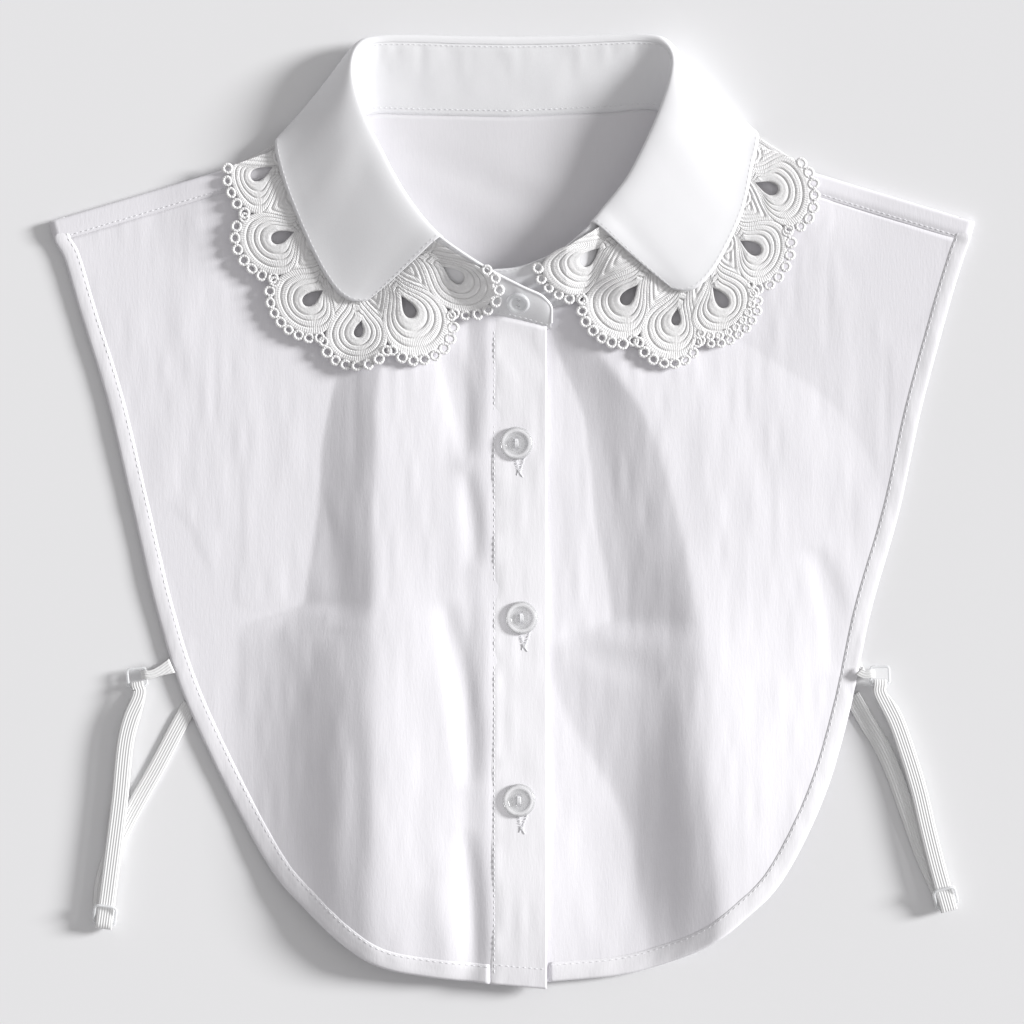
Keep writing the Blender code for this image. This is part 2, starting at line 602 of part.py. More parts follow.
def fall_half(side):
    """Mid-surface of half the fall, from the middle of the back to its front edge."""
    table = np.array(COLLAR_LEFT if side == "left" else COLLAR_RIGHT)
    count = 2 * len(table) - 1
    stand = stand_half(side)[:count]
    rows = smooth_rows(table[:, 6:], count, even=False)
    seat, roll, edge, tuck = stand[:, :3], stand[:, 3:], rows[:, :3], rows[:, 3:]
    rise = unit(roll - stand_middle(seat, roll))
    start = roll + rise * (GAP + 0.1)
    up = np.array((0.0, 0.0, 1.0))
    outward = unit(roll[:, :2] - (0.0, 150.0))
    outward = np.hstack((outward, np.zeros((count, 1))))
    over_near = mix(start, edge, 0.30) + up * 5.4
    over_far = mix(start, edge, 0.68) - up * 0.2
    under_near = start + outward * 5.6
    under_near[:, 2] = 0.6
    under_far = mix(start, edge, 0.42)
    under_far[:, 2] = -1.5
    near = mix(over_near, under_near, tuck)
    far = mix(over_far, under_far, tuck)
    shares = np.concatenate(([0.0, 0.05], np.linspace(0.15, 1.0, 8)))
    points = bezier([start, start + rise * ROLL_REACH, near, far, edge], shares)
    points[..., 2] = np.maximum(points[..., 2], WALL / 2.0)
    return points


def leaf_outline(half):
    """The part of a fall's outline that shows over the fronts: its outer edge and then its front edge."""
    edge = half[10:, -1]
    front = half[-1, ::-1]
    return smooth_rows(np.vstack((edge, front[1:9])), 160)


# ---------------------------------------------------------------------------------------------------------
# Lace
# ---------------------------------------------------------------------------------------------------------
def beyond_fold(x, y, side):
    """How far a point lies outside the shoulder's fold line."""
    tip, neck = (np.array(pair[0 if side == "left" else 1]) for pair in (SHOULDER_TIPS, NECK_POINTS))
    direction = unit(neck - tip)
    normal = turned(direction[None])[0]
    normal = normal if normal[1] > 0 else -normal
    return (x - tip[0]) * normal[0] + (y - tip[1]) * normal[1]


def over_stand(x, y, side):
    """Height that clears the stand's outer side, or far below where there is no stand."""
    rows = stand_rows(side)[9:]
    rows = rows[np.argsort(rows[:, 0])]
    seat_y, seat_z, roll_y, roll_z = (np.interp(x, rows[:, 0], rows[:, k]) for k in (1, 2, 4, 5))
    share = (y - seat_y) / (roll_y - seat_y)
    height = mix(seat_z, roll_z, np.clip(share, 0.0, 1.0)) + 1.5
    outside = (share < 0.0) | (x < rows[0, 0]) | (x > rows[-1, 0])
    return np.where(outside, -9.0, height)


def lace_height(plan, side, outline):
    """Underside of the lace: held by the fall's edge, sagging towards the cloth, clear of what is below."""
    x, y = plan[..., 0], plan[..., 1]
    apart = np.linalg.norm(plan[..., None, :] - outline[:, :2], axis=-1)
    near = np.argmin(apart, axis=-1)
    distance = np.min(apart, axis=-1)
    top = front_height(x, y, side) + WALL
    hover = mix(outline[near, 2] - LACE_DROP, top + LACE_HOVER, ramp(distance, 2.0, 26.0))
    floor = top + 0.6
    over_edge = ramp(beyond_fold(x, y, side), 3.0, 7.0)
    floor = mix(floor, WALL + GAP, over_edge)
    hover = mix(hover, WALL + GAP, over_edge)
    return np.maximum(np.maximum(hover, floor), over_stand(x, y, side))


def scallop_loop(bases, first_notch, last_notch, tip):
    """Outline of one scallop from its first base point, without the repeat: half an oval on two spokes."""
    angle = np.linspace(0.0, math.pi, LOOP_STEPS["border"] + 1)
    along = column_of((1.0 - np.cos(angle)) / 2.0)
    reach = tip - mix(first_notch, last_notch, 0.5)
    border = mix(first_notch, last_notch, along) + reach * column_of(np.sin(angle))
    out = np.linspace(bases[0], first_notch, LOOP_STEPS["spoke"] + 1)
    back = np.linspace(last_notch, bases[-1], LOOP_STEPS["spoke"] + 1)
    return np.vstack((out[:-1], border[:-1], back[:-1], bases[:0:-1]))


def eye_radius(angle, length, width):
    """Radius of a drop-shaped hole at an angle from the direction of its round end."""
    a, b = length / 2.0, width / 2.0
    oval = a * b / np.sqrt((b * np.cos(angle))**2 + (a * np.sin(angle))**2)
    return oval * (1.0 + 0.12 * np.clip(-np.cos(angle), 0.0, 1.0)**3)


def scallop_grid(loop, eye, tip, size, rings):
    """Plan points of one scallop, on rings from its hole to its outline; the first ray is repeated."""
    loop = np.vstack((loop, loop[:1]))
    outward = loop - eye
    axis = math.atan2(*(tip - eye)[::-1])
    angle = np.arctan2(outward[:, 1], outward[:, 0]) - axis
    hole = eye + unit(outward) * column_of(eye_radius(angle, *size))
    return np.stack([mix(hole, loop, ring) for ring in rings], axis=1)


def front_lace(side, outline, table, place):
    """The lace that shows on one front."""
    base, notch = np.array(table["base"]), np.array(table["notch"])
    steps = LOOP_STEPS["base"]
    dense = smooth_rows(base, steps * (len(base) - 1) + 1, even=False)
    grids, rises = [], []
    for k, (tip, eye) in enumerate(zip(np.array(table["tip"]), np.array(table["eye"]))):
        bases = dense[steps * k:steps * (k + 1) + 1]
        size = (CURL_LENGTH, CURL_WIDTH) if k == CURL else (EYE_LENGTH, EYE_WIDTH)
        plan = scallop_grid(scallop_loop(bases, notch[k], notch[k + 1], tip), eye, tip, size, RIB_RINGS)
        grids.append(raised(plan, lace_height(plan, side, outline)))
        from_base = np.min(np.linalg.norm(plan[..., None, :] - dense, axis=-1), axis=-1)
        rises.append(np.array(RIB_RISE)[None, :] * ramp(from_base, 3.0, 7.0))
    ribbed_lace("lace_" + side, grids, rises, lace_thread, place)


def back_lace(left_half, right_half, place):
    """The lace round the fall's back edge, folded under the back panel on the ground."""
    edge = np.vstack((left_half[10::-1, -1, :2], right_half[1:11, -1, :2]))
    steps = LOOP_STEPS["base"]
    edge = smooth_rows(edge, steps * BACK_SCALLOPS + 1)
    inward = -turned(unit(np.gradient(edge, axis=0)))
    inward = inward * np.sign(-inward[:, 1:])
    inner = edge + inward * (WALL / 2.0)
    notch = inner[::steps] + inward[::steps] * BACK_NOTCH
    notch[0] = LACE_LEFT["notch"][0] + np.array((0.6, -0.6))
    notch[-1] = LACE_RIGHT["notch"][0] + np.array((-0.6, -0.6))
    notch[1] += (-6.0, 1.0)
    notch[-2] += (6.0, 1.0)
    grids, rises = [], []
    for k in range(BACK_SCALLOPS):
        bases = inner[steps * k:steps * (k + 1) + 1]
        middle = mix(notch[k], notch[k + 1], 0.5)
        tip = middle + unit(middle - bases[2]) * (BACK_LACE - BACK_NOTCH)
        eye = mix(bases[2], tip, 0.5)
        loop = scallop_loop(bases, notch[k], notch[k + 1], tip)
        plan = scallop_grid(loop, eye, tip, (EYE_LENGTH, EYE_WIDTH), BACK_RINGS)
        grids.append(raised(plan, np.zeros(plan.shape[:-1])))
        rises.append(np.zeros(plan.shape[:-1]))
    ribbed_lace("lace_back", grids, rises, lace_thread, place)


# ---------------------------------------------------------------------------------------------------------
# Buttons and straps
# ---------------------------------------------------------------------------------------------------------
def button(name, diameter, spot, tilt, place, cutters):
    """A turned button with a rim, a sunk middle and two holes; spot is its underside's middle in mm."""
    radius = diameter / 2.0
    profile = (
        # radius share, height share of the thickness; down the outer side from the top of the axis
        (0.0, 0.70), (0.56, 0.70), (0.70, 1.0), (0.88, 1.0),
        (1.0, 0.62), (0.97, 0.25), (0.80, 0.0), (0.0, 0.0),
    )
    mesh = bpy.data.meshes.new(name)
    points = [(radius * r * MM, 0.0, BUTTON_THICKNESS * h * MM) for r, h in profile]
    mesh.from_pydata(points, [(k, k + 1) for k in range(len(points) - 1)], [])
    item = finish(name, mesh, clear_plastic, place)
    turn = item.modifiers.new("turn", "SCREW")
    turn.axis = "Z"
    turn.steps = turn.render_steps = 16
    turn.use_merge_vertices = True
    turn.merge_threshold = 0.00001
    item.location = ((spot[0] - CENTRE[0]) * MM, (spot[1] - CENTRE[1]) * MM, spot[2] * MM)
    item.rotation_euler = tilt
    for sign in (-1.0, 1.0):
        hole_mesh = bpy.data.meshes.new(name + "_hole")
        bm = bmesh.new()
        bmesh.ops.create_cone(bm, cap_ends=True, segments=8, radius1=radius * 0.13 * MM,
                              radius2=radius * 0.13 * MM, depth=BUTTON_THICKNESS * 3.0 * MM)
        bmesh.ops.translate(bm, verts=bm.verts, vec=(0.0, sign * radius * 0.26 * MM, 0.0))
        bm.to_mesh(hole_mesh)
        bm.free()
        hole = bpy.data.objects.new(name + "_hole", hole_mesh)
        cutters.objects.link(hole)
        hole.location, hole.rotation_euler = item.location, item.rotation_euler
        hole.hide_render = True
        hole.display_type = "WIRE"
        cut = item.modifiers.new("hole", "BOOLEAN")
        cut.operation = "DIFFERENCE"
        cut.object = hole
    return item


def tilt_to(normal):
    """Euler angles that turn +Z to the normal."""
    return (math.asin(-normal[1]), math.atan2(normal[0], normal[2]), 0.0)


def placket_seat(x, y):
    """Point of the placket's upper side and its normal there, from heights half a button away."""
    reach = BUTTON / 2.0
    xs, ys = np.array((x - reach, x + reach, x, x)), np.array((y, y, y - reach, y + reach))
    aside = front_height(xs, ys, "left")
    normal = unit(np.array((aside[0] - aside[1], aside[2] - aside[3], 2.0 * reach)))
    return np.array((x, y, np.mean(aside) + LAYER + WALL)), normal


def stand_seat(stand, spot):
    """Point of the stand tab's upper side and its normal there."""
    apart = np.linalg.norm(stand[:12, :, :2] - spot, axis=-1)
    i, j = np.unravel_index(np.argmin(apart), apart.shape)
    i, j = min(max(i, 1), 10), min(max(j, 1), 2)
    along, up = stand[i + 1, j] - stand[i - 1, j], stand[i, j + 1] - stand[i, j - 1]
    normal = unit(np.cross(along, up))
    normal = normal if normal[2] > 0 else -normal
    level = stand[i, j, 2] - ((spot - stand[i, j, :2]) @ normal[:2]) / normal[2]
    return np.array((*spot, level)) + normal * (WALL / 2.0), normal


def buttons(stand, place, cutters):
    """Three buttons down the placket and a smaller one on the stand's tab."""
    for number, (x, y) in enumerate(BUTTON_SPOTS, start=1):
        seat, normal = placket_seat(x, y)
        seat = seat + normal * BUTTON_SEAT
        button(f"button_placket_{number}", BUTTON, seat, tilt_to(normal), place, cutters)
    seat, normal = stand_seat(stand, np.array(STAND_BUTTON_SPOT))
    button("button_collar", STAND_BUTTON, seat + normal * BUTTON_SEAT, tilt_to(normal), place, cutters)


def band(name, path, profile, place, closed=False, waist=None):
    """A ribbon of elastic over a plan path. The profile is a list of (travel along the path, height).

    A waist is (width, travel, reach): the ribbon narrows to that width round that point of its path.
    """
    route = smooth_rows(path, 200)
    travel = np.concatenate(([0.0], np.cumsum(np.linalg.norm(np.diff(route, axis=0), axis=1))))
    ahead = unit(np.gradient(route, axis=0))
    s, z = np.array(profile).T
    inside = np.clip(s, 0.0, travel[-1])
    spot = np.stack([np.interp(inside, travel, route[:, k]) for k in (0, 1)], axis=1)
    way = unit(np.stack([np.interp(inside, travel, ahead[:, k]) for k in (0, 1)], axis=1))
    spot = spot + way * column_of(s - inside)
    width = np.full(len(s), ELASTIC)
    if waist is not None:
        width = mix(waist[0], ELASTIC, ramp(np.abs(s - waist[1]), 3.0, waist[2]))
    across = turned(way) * column_of(width / 2.0)
    rows = np.stack([raised(spot - across, z), raised(spot + across, z)], axis=1)
    if closed:
        rows = np.concatenate((rows, rows[:1]))
    return cloth(name, [rows], elastic_band, place, centred=True)


def path_length(path):
    """Length of the smooth path in mm."""
    return float(np.sum(np.linalg.norm(np.diff(smooth_rows(path, 200), axis=0), axis=1)))


def turn_profile(at, low, high, way, steps=6):
    """Half circle from the low to the high layer round a wire; way is +1 or -1 along the path."""
    middle, radius = (low + high) / 2.0, (high - low) / 2.0
    angles = np.linspace(-math.pi / 2.0, math.pi / 2.0, steps + 1)
    return [(at + way * radius * math.cos(a), middle + radius * math.sin(a)) for a in angles]


def ring_frame(side):
    """The ring's middle, and its foot and tab directions, in plan."""
    x, y, degrees, hand = RINGS[side]
    foot = np.array((math.cos(math.radians(degrees)), math.sin(math.radians(degrees))))
    return np.array((x, y)), foot, turned(foot[None])[0] * hand


def loop_path(side):
    """The loop's path: square off the ring's foot bar, then along the table."""
    middle, foot, _ = ring_frame(side)
    start = middle + foot * (RING_LENGTH / 2.0)
    return np.vstack((start, start + foot * 4.0, LOOP_PATHS[side]))


def strap_loop(side, place):
    """Doubled elastic that runs through the ring at one end and round the slider's bar at the other."""
    path = loop_path(side)
    end = path_length(path)
    rear = [(s, REAR_Z) for s in np.linspace(end, 0.0, 10)[1:-1]]
    front = [(s, FRONT_Z) for s in np.linspace(0.0, end, 10)[1:-1]]
    near = turn_profile(0.0, REAR_Z, FRONT_Z, -1.0)
    far = turn_profile(end, REAR_Z, FRONT_Z, 1.0)[::-1]
    profile = rear + near + front + far
    band("strap_loop_" + side, path, profile, place, closed=True, waist=(LOOP_WAIST, 0.0, 14.0))


def strap_anchor(side, place):
    """Single elastic on the ground, from the back's edge to under the slider."""
    path = ANCHOR_PATHS[side]
    profile = [(s, ANCHOR_Z) for s in np.linspace(0.0, path_length(path), 12)]
    band("strap_anchor_" + side, path, profile, place)


def strap_tab(side, place):
    """Short elastic folded round the ring's side bar, its lower end under the front's edge."""
    middle, foot, reach = ring_frame(side)
    bar = middle + reach * (RING_WIDTH / 2.0) - foot * TAB_OFFSET
    path = np.vstack((TAB_STARTS[side], bar + reach * 3.0, bar))
    end = path_length(path)
    low = [(0.0, 0.85), (TAB_UNDER, 0.85), (mix(TAB_UNDER, end, 0.6), REAR_Z - 0.2)]
    high = [(mix(TAB_UNDER, end, 0.6), FRONT_Z - 0.1), (TAB_UNDER, 4.75)]
    profile = low + turn_profile(end, REAR_Z, FRONT_Z, 1.0) + high
    band("strap_tab_" + side, path, profile, place, waist=(TAB_WAIST, end, end))


def moulded_frame(name, middle, foot, length, width, corner, heights, place):
    """A rounded frame of round wire. Its foot bar is at the first height and its head bar at the second."""
    across = turned(foot[None])[0]
    outline = []
    for way, sign, start in ((1.0, 1.0, 90.0), (1.0, -1.0, 0.0), (-1.0, -1.0, -90.0), (-1.0, 1.0, -180.0)):
        for step in range(4):
            angle = math.radians(start - 30.0 * step)
            along = way * (length / 2.0 - corner) + corner * math.cos(angle)
            aside = sign * (width / 2.0 - corner) + corner * math.sin(angle)
            outline.append((along, aside))
    curve = bpy.data.curves.new(name, "CURVE")
    curve.dimensions = "3D"
    curve.bevel_depth = WIRE * MM
    curve.bevel_resolution = 2
    spline = curve.splines.new("POLY")
    spline.points.add(len(outline) - 1)
    for point, (along, aside) in zip(spline.points, outline):
        plan = middle + foot * along + across * aside - CENTRE
        height = mix(heights[0], heights[1], 0.5 - along / length)
        point.co = (plan[0] * MM, plan[1] * MM, height * MM, 1.0)
    spline.use_cyclic_u = True
    curve.materials.append(clear_plastic(name))
    place.objects.link(bpy.data.objects.new(name, curve))


def strap_ring(side, place):
    """Moulded ring between the tab and the loop."""
    middle, foot, _ = ring_frame(side)
    moulded_frame("strap_ring_" + side, middle, foot, RING_LENGTH, RING_WIDTH, RING_CORNER,
                  (WIRE_Z, WIRE_Z), place)


def strap_slider(side, place):
    """Moulded frame: its foot bar lies in the loop's bend, its head bar on top of the strap."""
    path = smooth_rows(loop_path(side), 200)
    way = unit(path[-1] - path[-12])
    on_top = FRONT_Z + WALL / 2.0 + GAP + WIRE + 0.1
    moulded_frame("strap_slider_" + side, path[-1] - way * (SLIDER_LENGTH / 2.0), way, SLIDER_LENGTH,
                  SLIDER_WIDTH, SLIDER_CORNER, (WIRE_Z, on_top), place)


# ---------------------------------------------------------------------------------------------------------
# The whole collar
# ---------------------------------------------------------------------------------------------------------
def build():
    clear_scene()
    place = new_collection("lace_collar")
    cutters = new_collection("cutters")
    cutters.hide_render = True

    back_panel(place)
    fronts = {side: front_grid(side) for side in ("left", "right")}
    for side, grid in fronts.items():
        cloth("front_" + side, [grid], crepe, place)
        cloth("binding_" + side, [binding_grid(grid, side)], crepe, place)
    cloth("placket", [placket_grid(fronts["left"])], crepe, place)

    stand = stand_grid()
    left_half, right_half = fall_half("left"), fall_half("right")
    cloth("collar_stand", [stand], plain_weave, place, centred=True)
    fall = np.concatenate((left_half[::-1], right_half[1:]))
    cloth("collar_fall", [fall], plain_weave, place, centred=True)
    front_lace("left", leaf_outline(left_half), LACE_LEFT, place)
    front_lace("right", leaf_outline(right_half), LACE_RIGHT, place)
    back_lace(left_half, right_half, place)

    buttons(stand, place, cutters)
    for side in ("left", "right"):
        strap_tab(side, place)
        strap_ring(side, place)
        strap_loop(side, place)
        strap_slider(side, place)
        strap_anchor(side, place)


build()
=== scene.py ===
# %% [markdown]
# # A lace-edged false collar, laid flat
# The real thing is a shirt collar on a short bib, worn under a jumper. A back panel wraps over the shoulders,
# two fronts button down the middle, a guipure edging is sewn under the collar, and an elastic strap with a ring
# and a slider sits at each side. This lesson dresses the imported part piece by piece. Every cloth piece is a
# surface that numpy works out from a short table, with a real thickness, so the folds cast real shadows and the
# stitching lies on real edges. All tables are in millimetres, as in the part's own source.

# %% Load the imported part
import math

import bpy
import numpy as np
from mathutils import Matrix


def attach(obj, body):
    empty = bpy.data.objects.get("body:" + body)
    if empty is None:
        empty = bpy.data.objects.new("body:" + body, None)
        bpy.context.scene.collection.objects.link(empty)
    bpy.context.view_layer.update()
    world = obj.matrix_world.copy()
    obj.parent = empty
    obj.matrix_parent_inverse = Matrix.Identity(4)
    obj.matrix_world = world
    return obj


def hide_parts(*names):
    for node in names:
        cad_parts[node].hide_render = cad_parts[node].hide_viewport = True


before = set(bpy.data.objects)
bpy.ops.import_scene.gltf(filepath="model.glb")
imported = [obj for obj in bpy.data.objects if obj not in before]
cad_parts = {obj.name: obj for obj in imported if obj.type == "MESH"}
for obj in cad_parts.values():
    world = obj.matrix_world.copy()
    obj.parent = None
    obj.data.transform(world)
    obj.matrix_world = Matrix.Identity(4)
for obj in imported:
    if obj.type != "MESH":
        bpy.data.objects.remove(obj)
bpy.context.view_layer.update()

# %% [markdown]
# ## Where everything is measured from
# The tables keep the pattern cutter's own numbers, measured from the middle of the placket. CENTRE is the middle
# of the laid-out shape in those numbers, which the part puts at the world's origin.

# %% Shared sizes
MM = 0.001
CENTRE = np.array((-0.2, 0.87))
WALL, GAP = 1.0, 0.3                   # the part's cloth walls and the space between them
LAYER = WALL + GAP + 0.05
CLOTH = 0.7                            # thickness that shows
LIFT = 0.15                            # the thin cloth's underside above that of the part's wall
BACK_LIFT, BACK_INSET = 1.5, 4.0
FLAP_WIDTH, FLAP_TOP, FLAP_INSET, SHOULDER_RISE = 8.5, 2.6, 0.9, 0.45
FRONT_BASE = FLAP_TOP - WALL
NECK_GAP = 0.45
PLACKET_LEFT, PLACKET_RIGHT, UNDERLAP = -9.2, 14.1, -9.0
PLACKET_SWELL = 0.4
LAP = (-20.0, -9.5)                    # the left front rises over the right one between these
BINDING_TOP, BINDING_HEM = 6.5, 8.0
ELASTIC = 6.8

# %% Small tools
def ramp(value, start, end):
    """0 before start, 1 after end; between them t*t*(3 - 2t), which leaves and arrives level."""
    share = np.clip((np.asarray(value, float) - start) / (end - start), 0.0, 1.0)
    return share * share * (3.0 - 2.0 * share)


def mix(a, b, share):
    """From a to b by the given share."""
    return a + (b - a) * share


def unit(vector):
    """The vector at length 1."""
    return vector / np.maximum(np.linalg.norm(vector, axis=-1, keepdims=True), 1e-12)


def column_of(values):
    """Values as a column, to scale rows of points."""
    return np.asarray(values, float)[:, None]


def turned(vectors):
    """Plan vectors turned a quarter to the left: (x, y) becomes (-y, x)."""
    return np.stack((-vectors[..., 1], vectors[..., 0]), axis=-1)


def raised(points, heights):
    """Plan points (..., 2) with their heights as a third coordinate."""
    return np.concatenate((points, np.asarray(heights)[..., None]), axis=-1)


def travel_of(points):
    """Distance walked along a row of points."""
    return np.concatenate(([0.0], np.cumsum(np.linalg.norm(np.diff(points, axis=0), axis=1))))


def smooth_rows(rows, count, even=True, crowd=1.0):
    """The table's rows at count stations of a Catmull-Rom curve: a cubic through each row, whose direction
    there is that from the row before to the row after.

    Stations are even along the curve, or even from row to row where even is False, and a crowd over 1 draws
    them towards the first row.
    """
    rows = np.array(rows, float)
    knots = np.vstack((2 * rows[0] - rows[1], rows, 2 * rows[-1] - rows[-2]))
    share = np.linspace(0.0, 1.0, 17)[:-1, None]
    spans = []
    for a, b, c, d in zip(knots, knots[1:], knots[2:], knots[3:]):
        spans.append(0.5 * (2 * b + (c - a) * share + (2 * a - 5 * b + 4 * c - d) * share**2
                            + (3 * b - a - 3 * c + d) * share**3))
    dense = np.vstack(spans + [rows[-1:]])
    travel = travel_of(dense) if even else np.arange(len(dense), dtype=float)
    wanted = travel[-1] * np.linspace(0.0, 1.0, count)**crowd
    return np.stack([np.interp(wanted, travel, dense[:, k]) for k in range(rows.shape[1])], axis=1)


def bezier(points, shares):
    """Bezier curves for rows of control points (n, 3): each point's weight is C(d,k) t^k (1-t)^(d-k)."""
    degree = len(points) - 1
    total = 0.0
    for k, point in enumerate(points):
        weight = math.comb(degree, k) * shares**k * (1.0 - shares)**(degree - k)
        total = total + weight[None, :, None] * point[:, None, :]
    return total


def soft_noise(x, y, size_x, size_y, seed):
    """Smooth hills and dips from -1 to 1 about size_x by size_y mm: a lattice of random heights, blended with
    the ramp's own weights between its four nearest corners."""
    lattice = np.random.default_rng(seed).uniform(-1.0, 1.0, (64, 64))
    u, v = np.asarray(x) / size_x + 32.0, np.asarray(y) / size_y + 32.0
    i, j = np.floor(u).astype(int), np.floor(v).astype(int)
    s, t = ramp(u - i, 0.0, 1.0), ramp(v - j, 0.0, 1.0)
    corner = [lattice[(i + a) % 64, (j + b) % 64] for a in (0, 1) for b in (0, 1)]
    return mix(mix(corner[0], corner[1], t), mix(corner[2], corner[3], t), s)

# %% [markdown]
# ## Turning arrays into meshes
# A grid of points has a quad between each four neighbours, so its faces are one formula on the row and column
# numbers. Several grids can share an edge: points that fall on each other are welded by sorting their rounded
# coordinates. The wall comes from a Solidify modifier, which keeps the surface and its thickness apart.

# %% Mesh tools
def grid_faces(rows, columns, start=0, wrap_rows=False, wrap_columns=False):
    """Quads of a grid of vertices, (r, c) to (r + 1, c) to (r + 1, c + 1) to (r, c + 1)."""
    r = np.arange(rows if wrap_rows else rows - 1)[:, None]
    c = np.arange(columns if wrap_columns else columns - 1)[None, :]
    below, right = (r + 1) % rows, (c + 1) % columns
    quads = np.stack((r * columns + c, below * columns + c, below * columns + right, r * columns + right), axis=-1)
    return quads.reshape(-1, 4) + start


def weld(points, faces, distance=0.02):
    """Merge points that round to the same place, and point the faces at the merged ones."""
    keys = np.round(points / distance).astype(np.int64)
    _, first, place = np.unique(keys, axis=0, return_index=True, return_inverse=True)
    return first, place.reshape(-1)[faces]


def new_piece(name, points, faces, look, uv=None, values=None):
    """An object at the origin from points in table mm, quads, and a UV pair and named values for each point."""
    mesh = bpy.data.meshes.new(name)
    world = np.array(points, float)
    world[:, :2] -= CENTRE
    mesh.vertices.add(len(world))
    mesh.vertices.foreach_set("co", (world * MM).ravel())
    mesh.loops.add(faces.size)
    mesh.loops.foreach_set("vertex_index", faces.ravel().astype(np.int32))
    mesh.polygons.add(len(faces))
    mesh.polygons.foreach_set("loop_start", np.arange(0, faces.size, 4, dtype=np.int32))
    mesh.update(calc_edges=True)
    if uv is not None:
        layer = mesh.uv_layers.new(name="cloth")
        layer.data.foreach_set("uv", np.asarray(uv, float)[faces.ravel()].ravel())
    for label, numbers in (values or {}).items():
        attribute = mesh.attributes.new(label, "FLOAT", "POINT")
        attribute.data.foreach_set("value", np.asarray(numbers, float).ravel())
    mesh.validate()
    mesh.shade_smooth()
    mesh.materials.append(look)
    piece = bpy.data.objects.new(name, mesh)
    bpy.context.scene.collection.objects.link(piece)
    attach(piece, "root")
    return piece


def grid_uv(points):
    """Distances in cm along both directions of a grid, so that a weave keeps its scale on any surface."""
    down = np.linalg.norm(np.diff(points, axis=0), axis=-1)
    across = np.linalg.norm(np.diff(points, axis=1), axis=-1)
    v = np.concatenate((np.zeros((1, points.shape[1])), np.cumsum(down, axis=0)))
    u = np.concatenate((np.zeros((points.shape[0], 1)), np.cumsum(across, axis=1)), axis=1)
    return np.stack((u, v), axis=-1) / 10.0


def cloth_piece(name, grids, look, thickness=CLOTH, offset=1.0, even=True):
    """Welded grids with faces turned up, thickened by Solidify; offset 1 is upward and 0 both ways."""
    points = np.vstack([grid.reshape(-1, 3) for grid in grids])
    uv = np.vstack([grid_uv(grid).reshape(-1, 2) for grid in grids])
    starts = np.cumsum([0] + [grid.shape[0] * grid.shape[1] for grid in grids])
    faces = []
    for grid, start in zip(grids, starts):
        quads = grid_faces(grid.shape[0], grid.shape[1], start)
        corner = points[quads]
        normals = np.cross(corner[:, 2] - corner[:, 0], corner[:, 3] - corner[:, 1])
        facing_up = normals[:, 2].sum() > 0.0
        faces.append(quads if facing_up else quads[:, ::-1])
    kept, faces = weld(points, np.vstack(faces))
    piece = new_piece(name, points[kept], faces, look, uv[kept])
    wall = piece.modifiers.new("wall", "SOLIDIFY")
    wall.thickness = thickness * MM
    wall.offset = offset
    wall.use_even_offset = even
    wall.use_quality_normals = True
    return piece


def solid_rows(name, sections, look, closed=False):
    """A solid from closed cross-sections (n, m, 3): its skin is a grid that wraps round, and unless the path
    itself is closed, each end is drawn to the middle of its section."""
    rows = sections
    if not closed:
        ends = [np.repeat(sections[k].mean(axis=0)[None], sections.shape[1], axis=0)[None] for k in (0, -1)]
        rows = np.concatenate((ends[0], sections, ends[1]))
    faces = grid_faces(rows.shape[0], rows.shape[1], wrap_rows=closed, wrap_columns=True)
    uv = grid_uv(rows)
    points = rows.reshape(-1, 3)
    kept, faces = weld(points, faces, 1e-4)
    faces = faces[(faces[:, 0] != faces[:, 3]) | (faces[:, 1] != faces[:, 2])]
    return new_piece(name, points[kept], faces, look, uv.reshape(-1, 2)[kept])

# %% [markdown]
# ## Shader arithmetic
# A cloth's look is a small sum of patterns: a thread every so often, some slubs, a little unevenness. Writing the
# sums as Python expressions keeps them readable, so one class wraps a socket and adds a Math node per operator.

# %% Materials as expressions
class Value:
    """A socket of a node tree; arithmetic on it adds Math nodes."""

    def __init__(self, look, socket):
        self.look, self.socket = look, socket

    def math(self, operation, *others):
        return self.look.add("ShaderNodeMath", {"operation": operation}, dict(enumerate((self, *others))))

    def __add__(self, other):
        return self.math("ADD", other)

    def __sub__(self, other):
        return self.math("SUBTRACT", other)

    def __mul__(self, other):
        return self.math("MULTIPLY", other)

    def __truediv__(self, other):
        return self.math("DIVIDE", other)

    __radd__, __rmul__ = __add__, __mul__

    def __rsub__(self, other):
        return self.look.add("ShaderNodeMath", {"operation": "SUBTRACT"}, {0: other, 1: self})

    def sine(self):
        return self.math("SINE")

    def clamp(self):
        return self.math("MAXIMUM", 0.0).math("MINIMUM", 1.0)


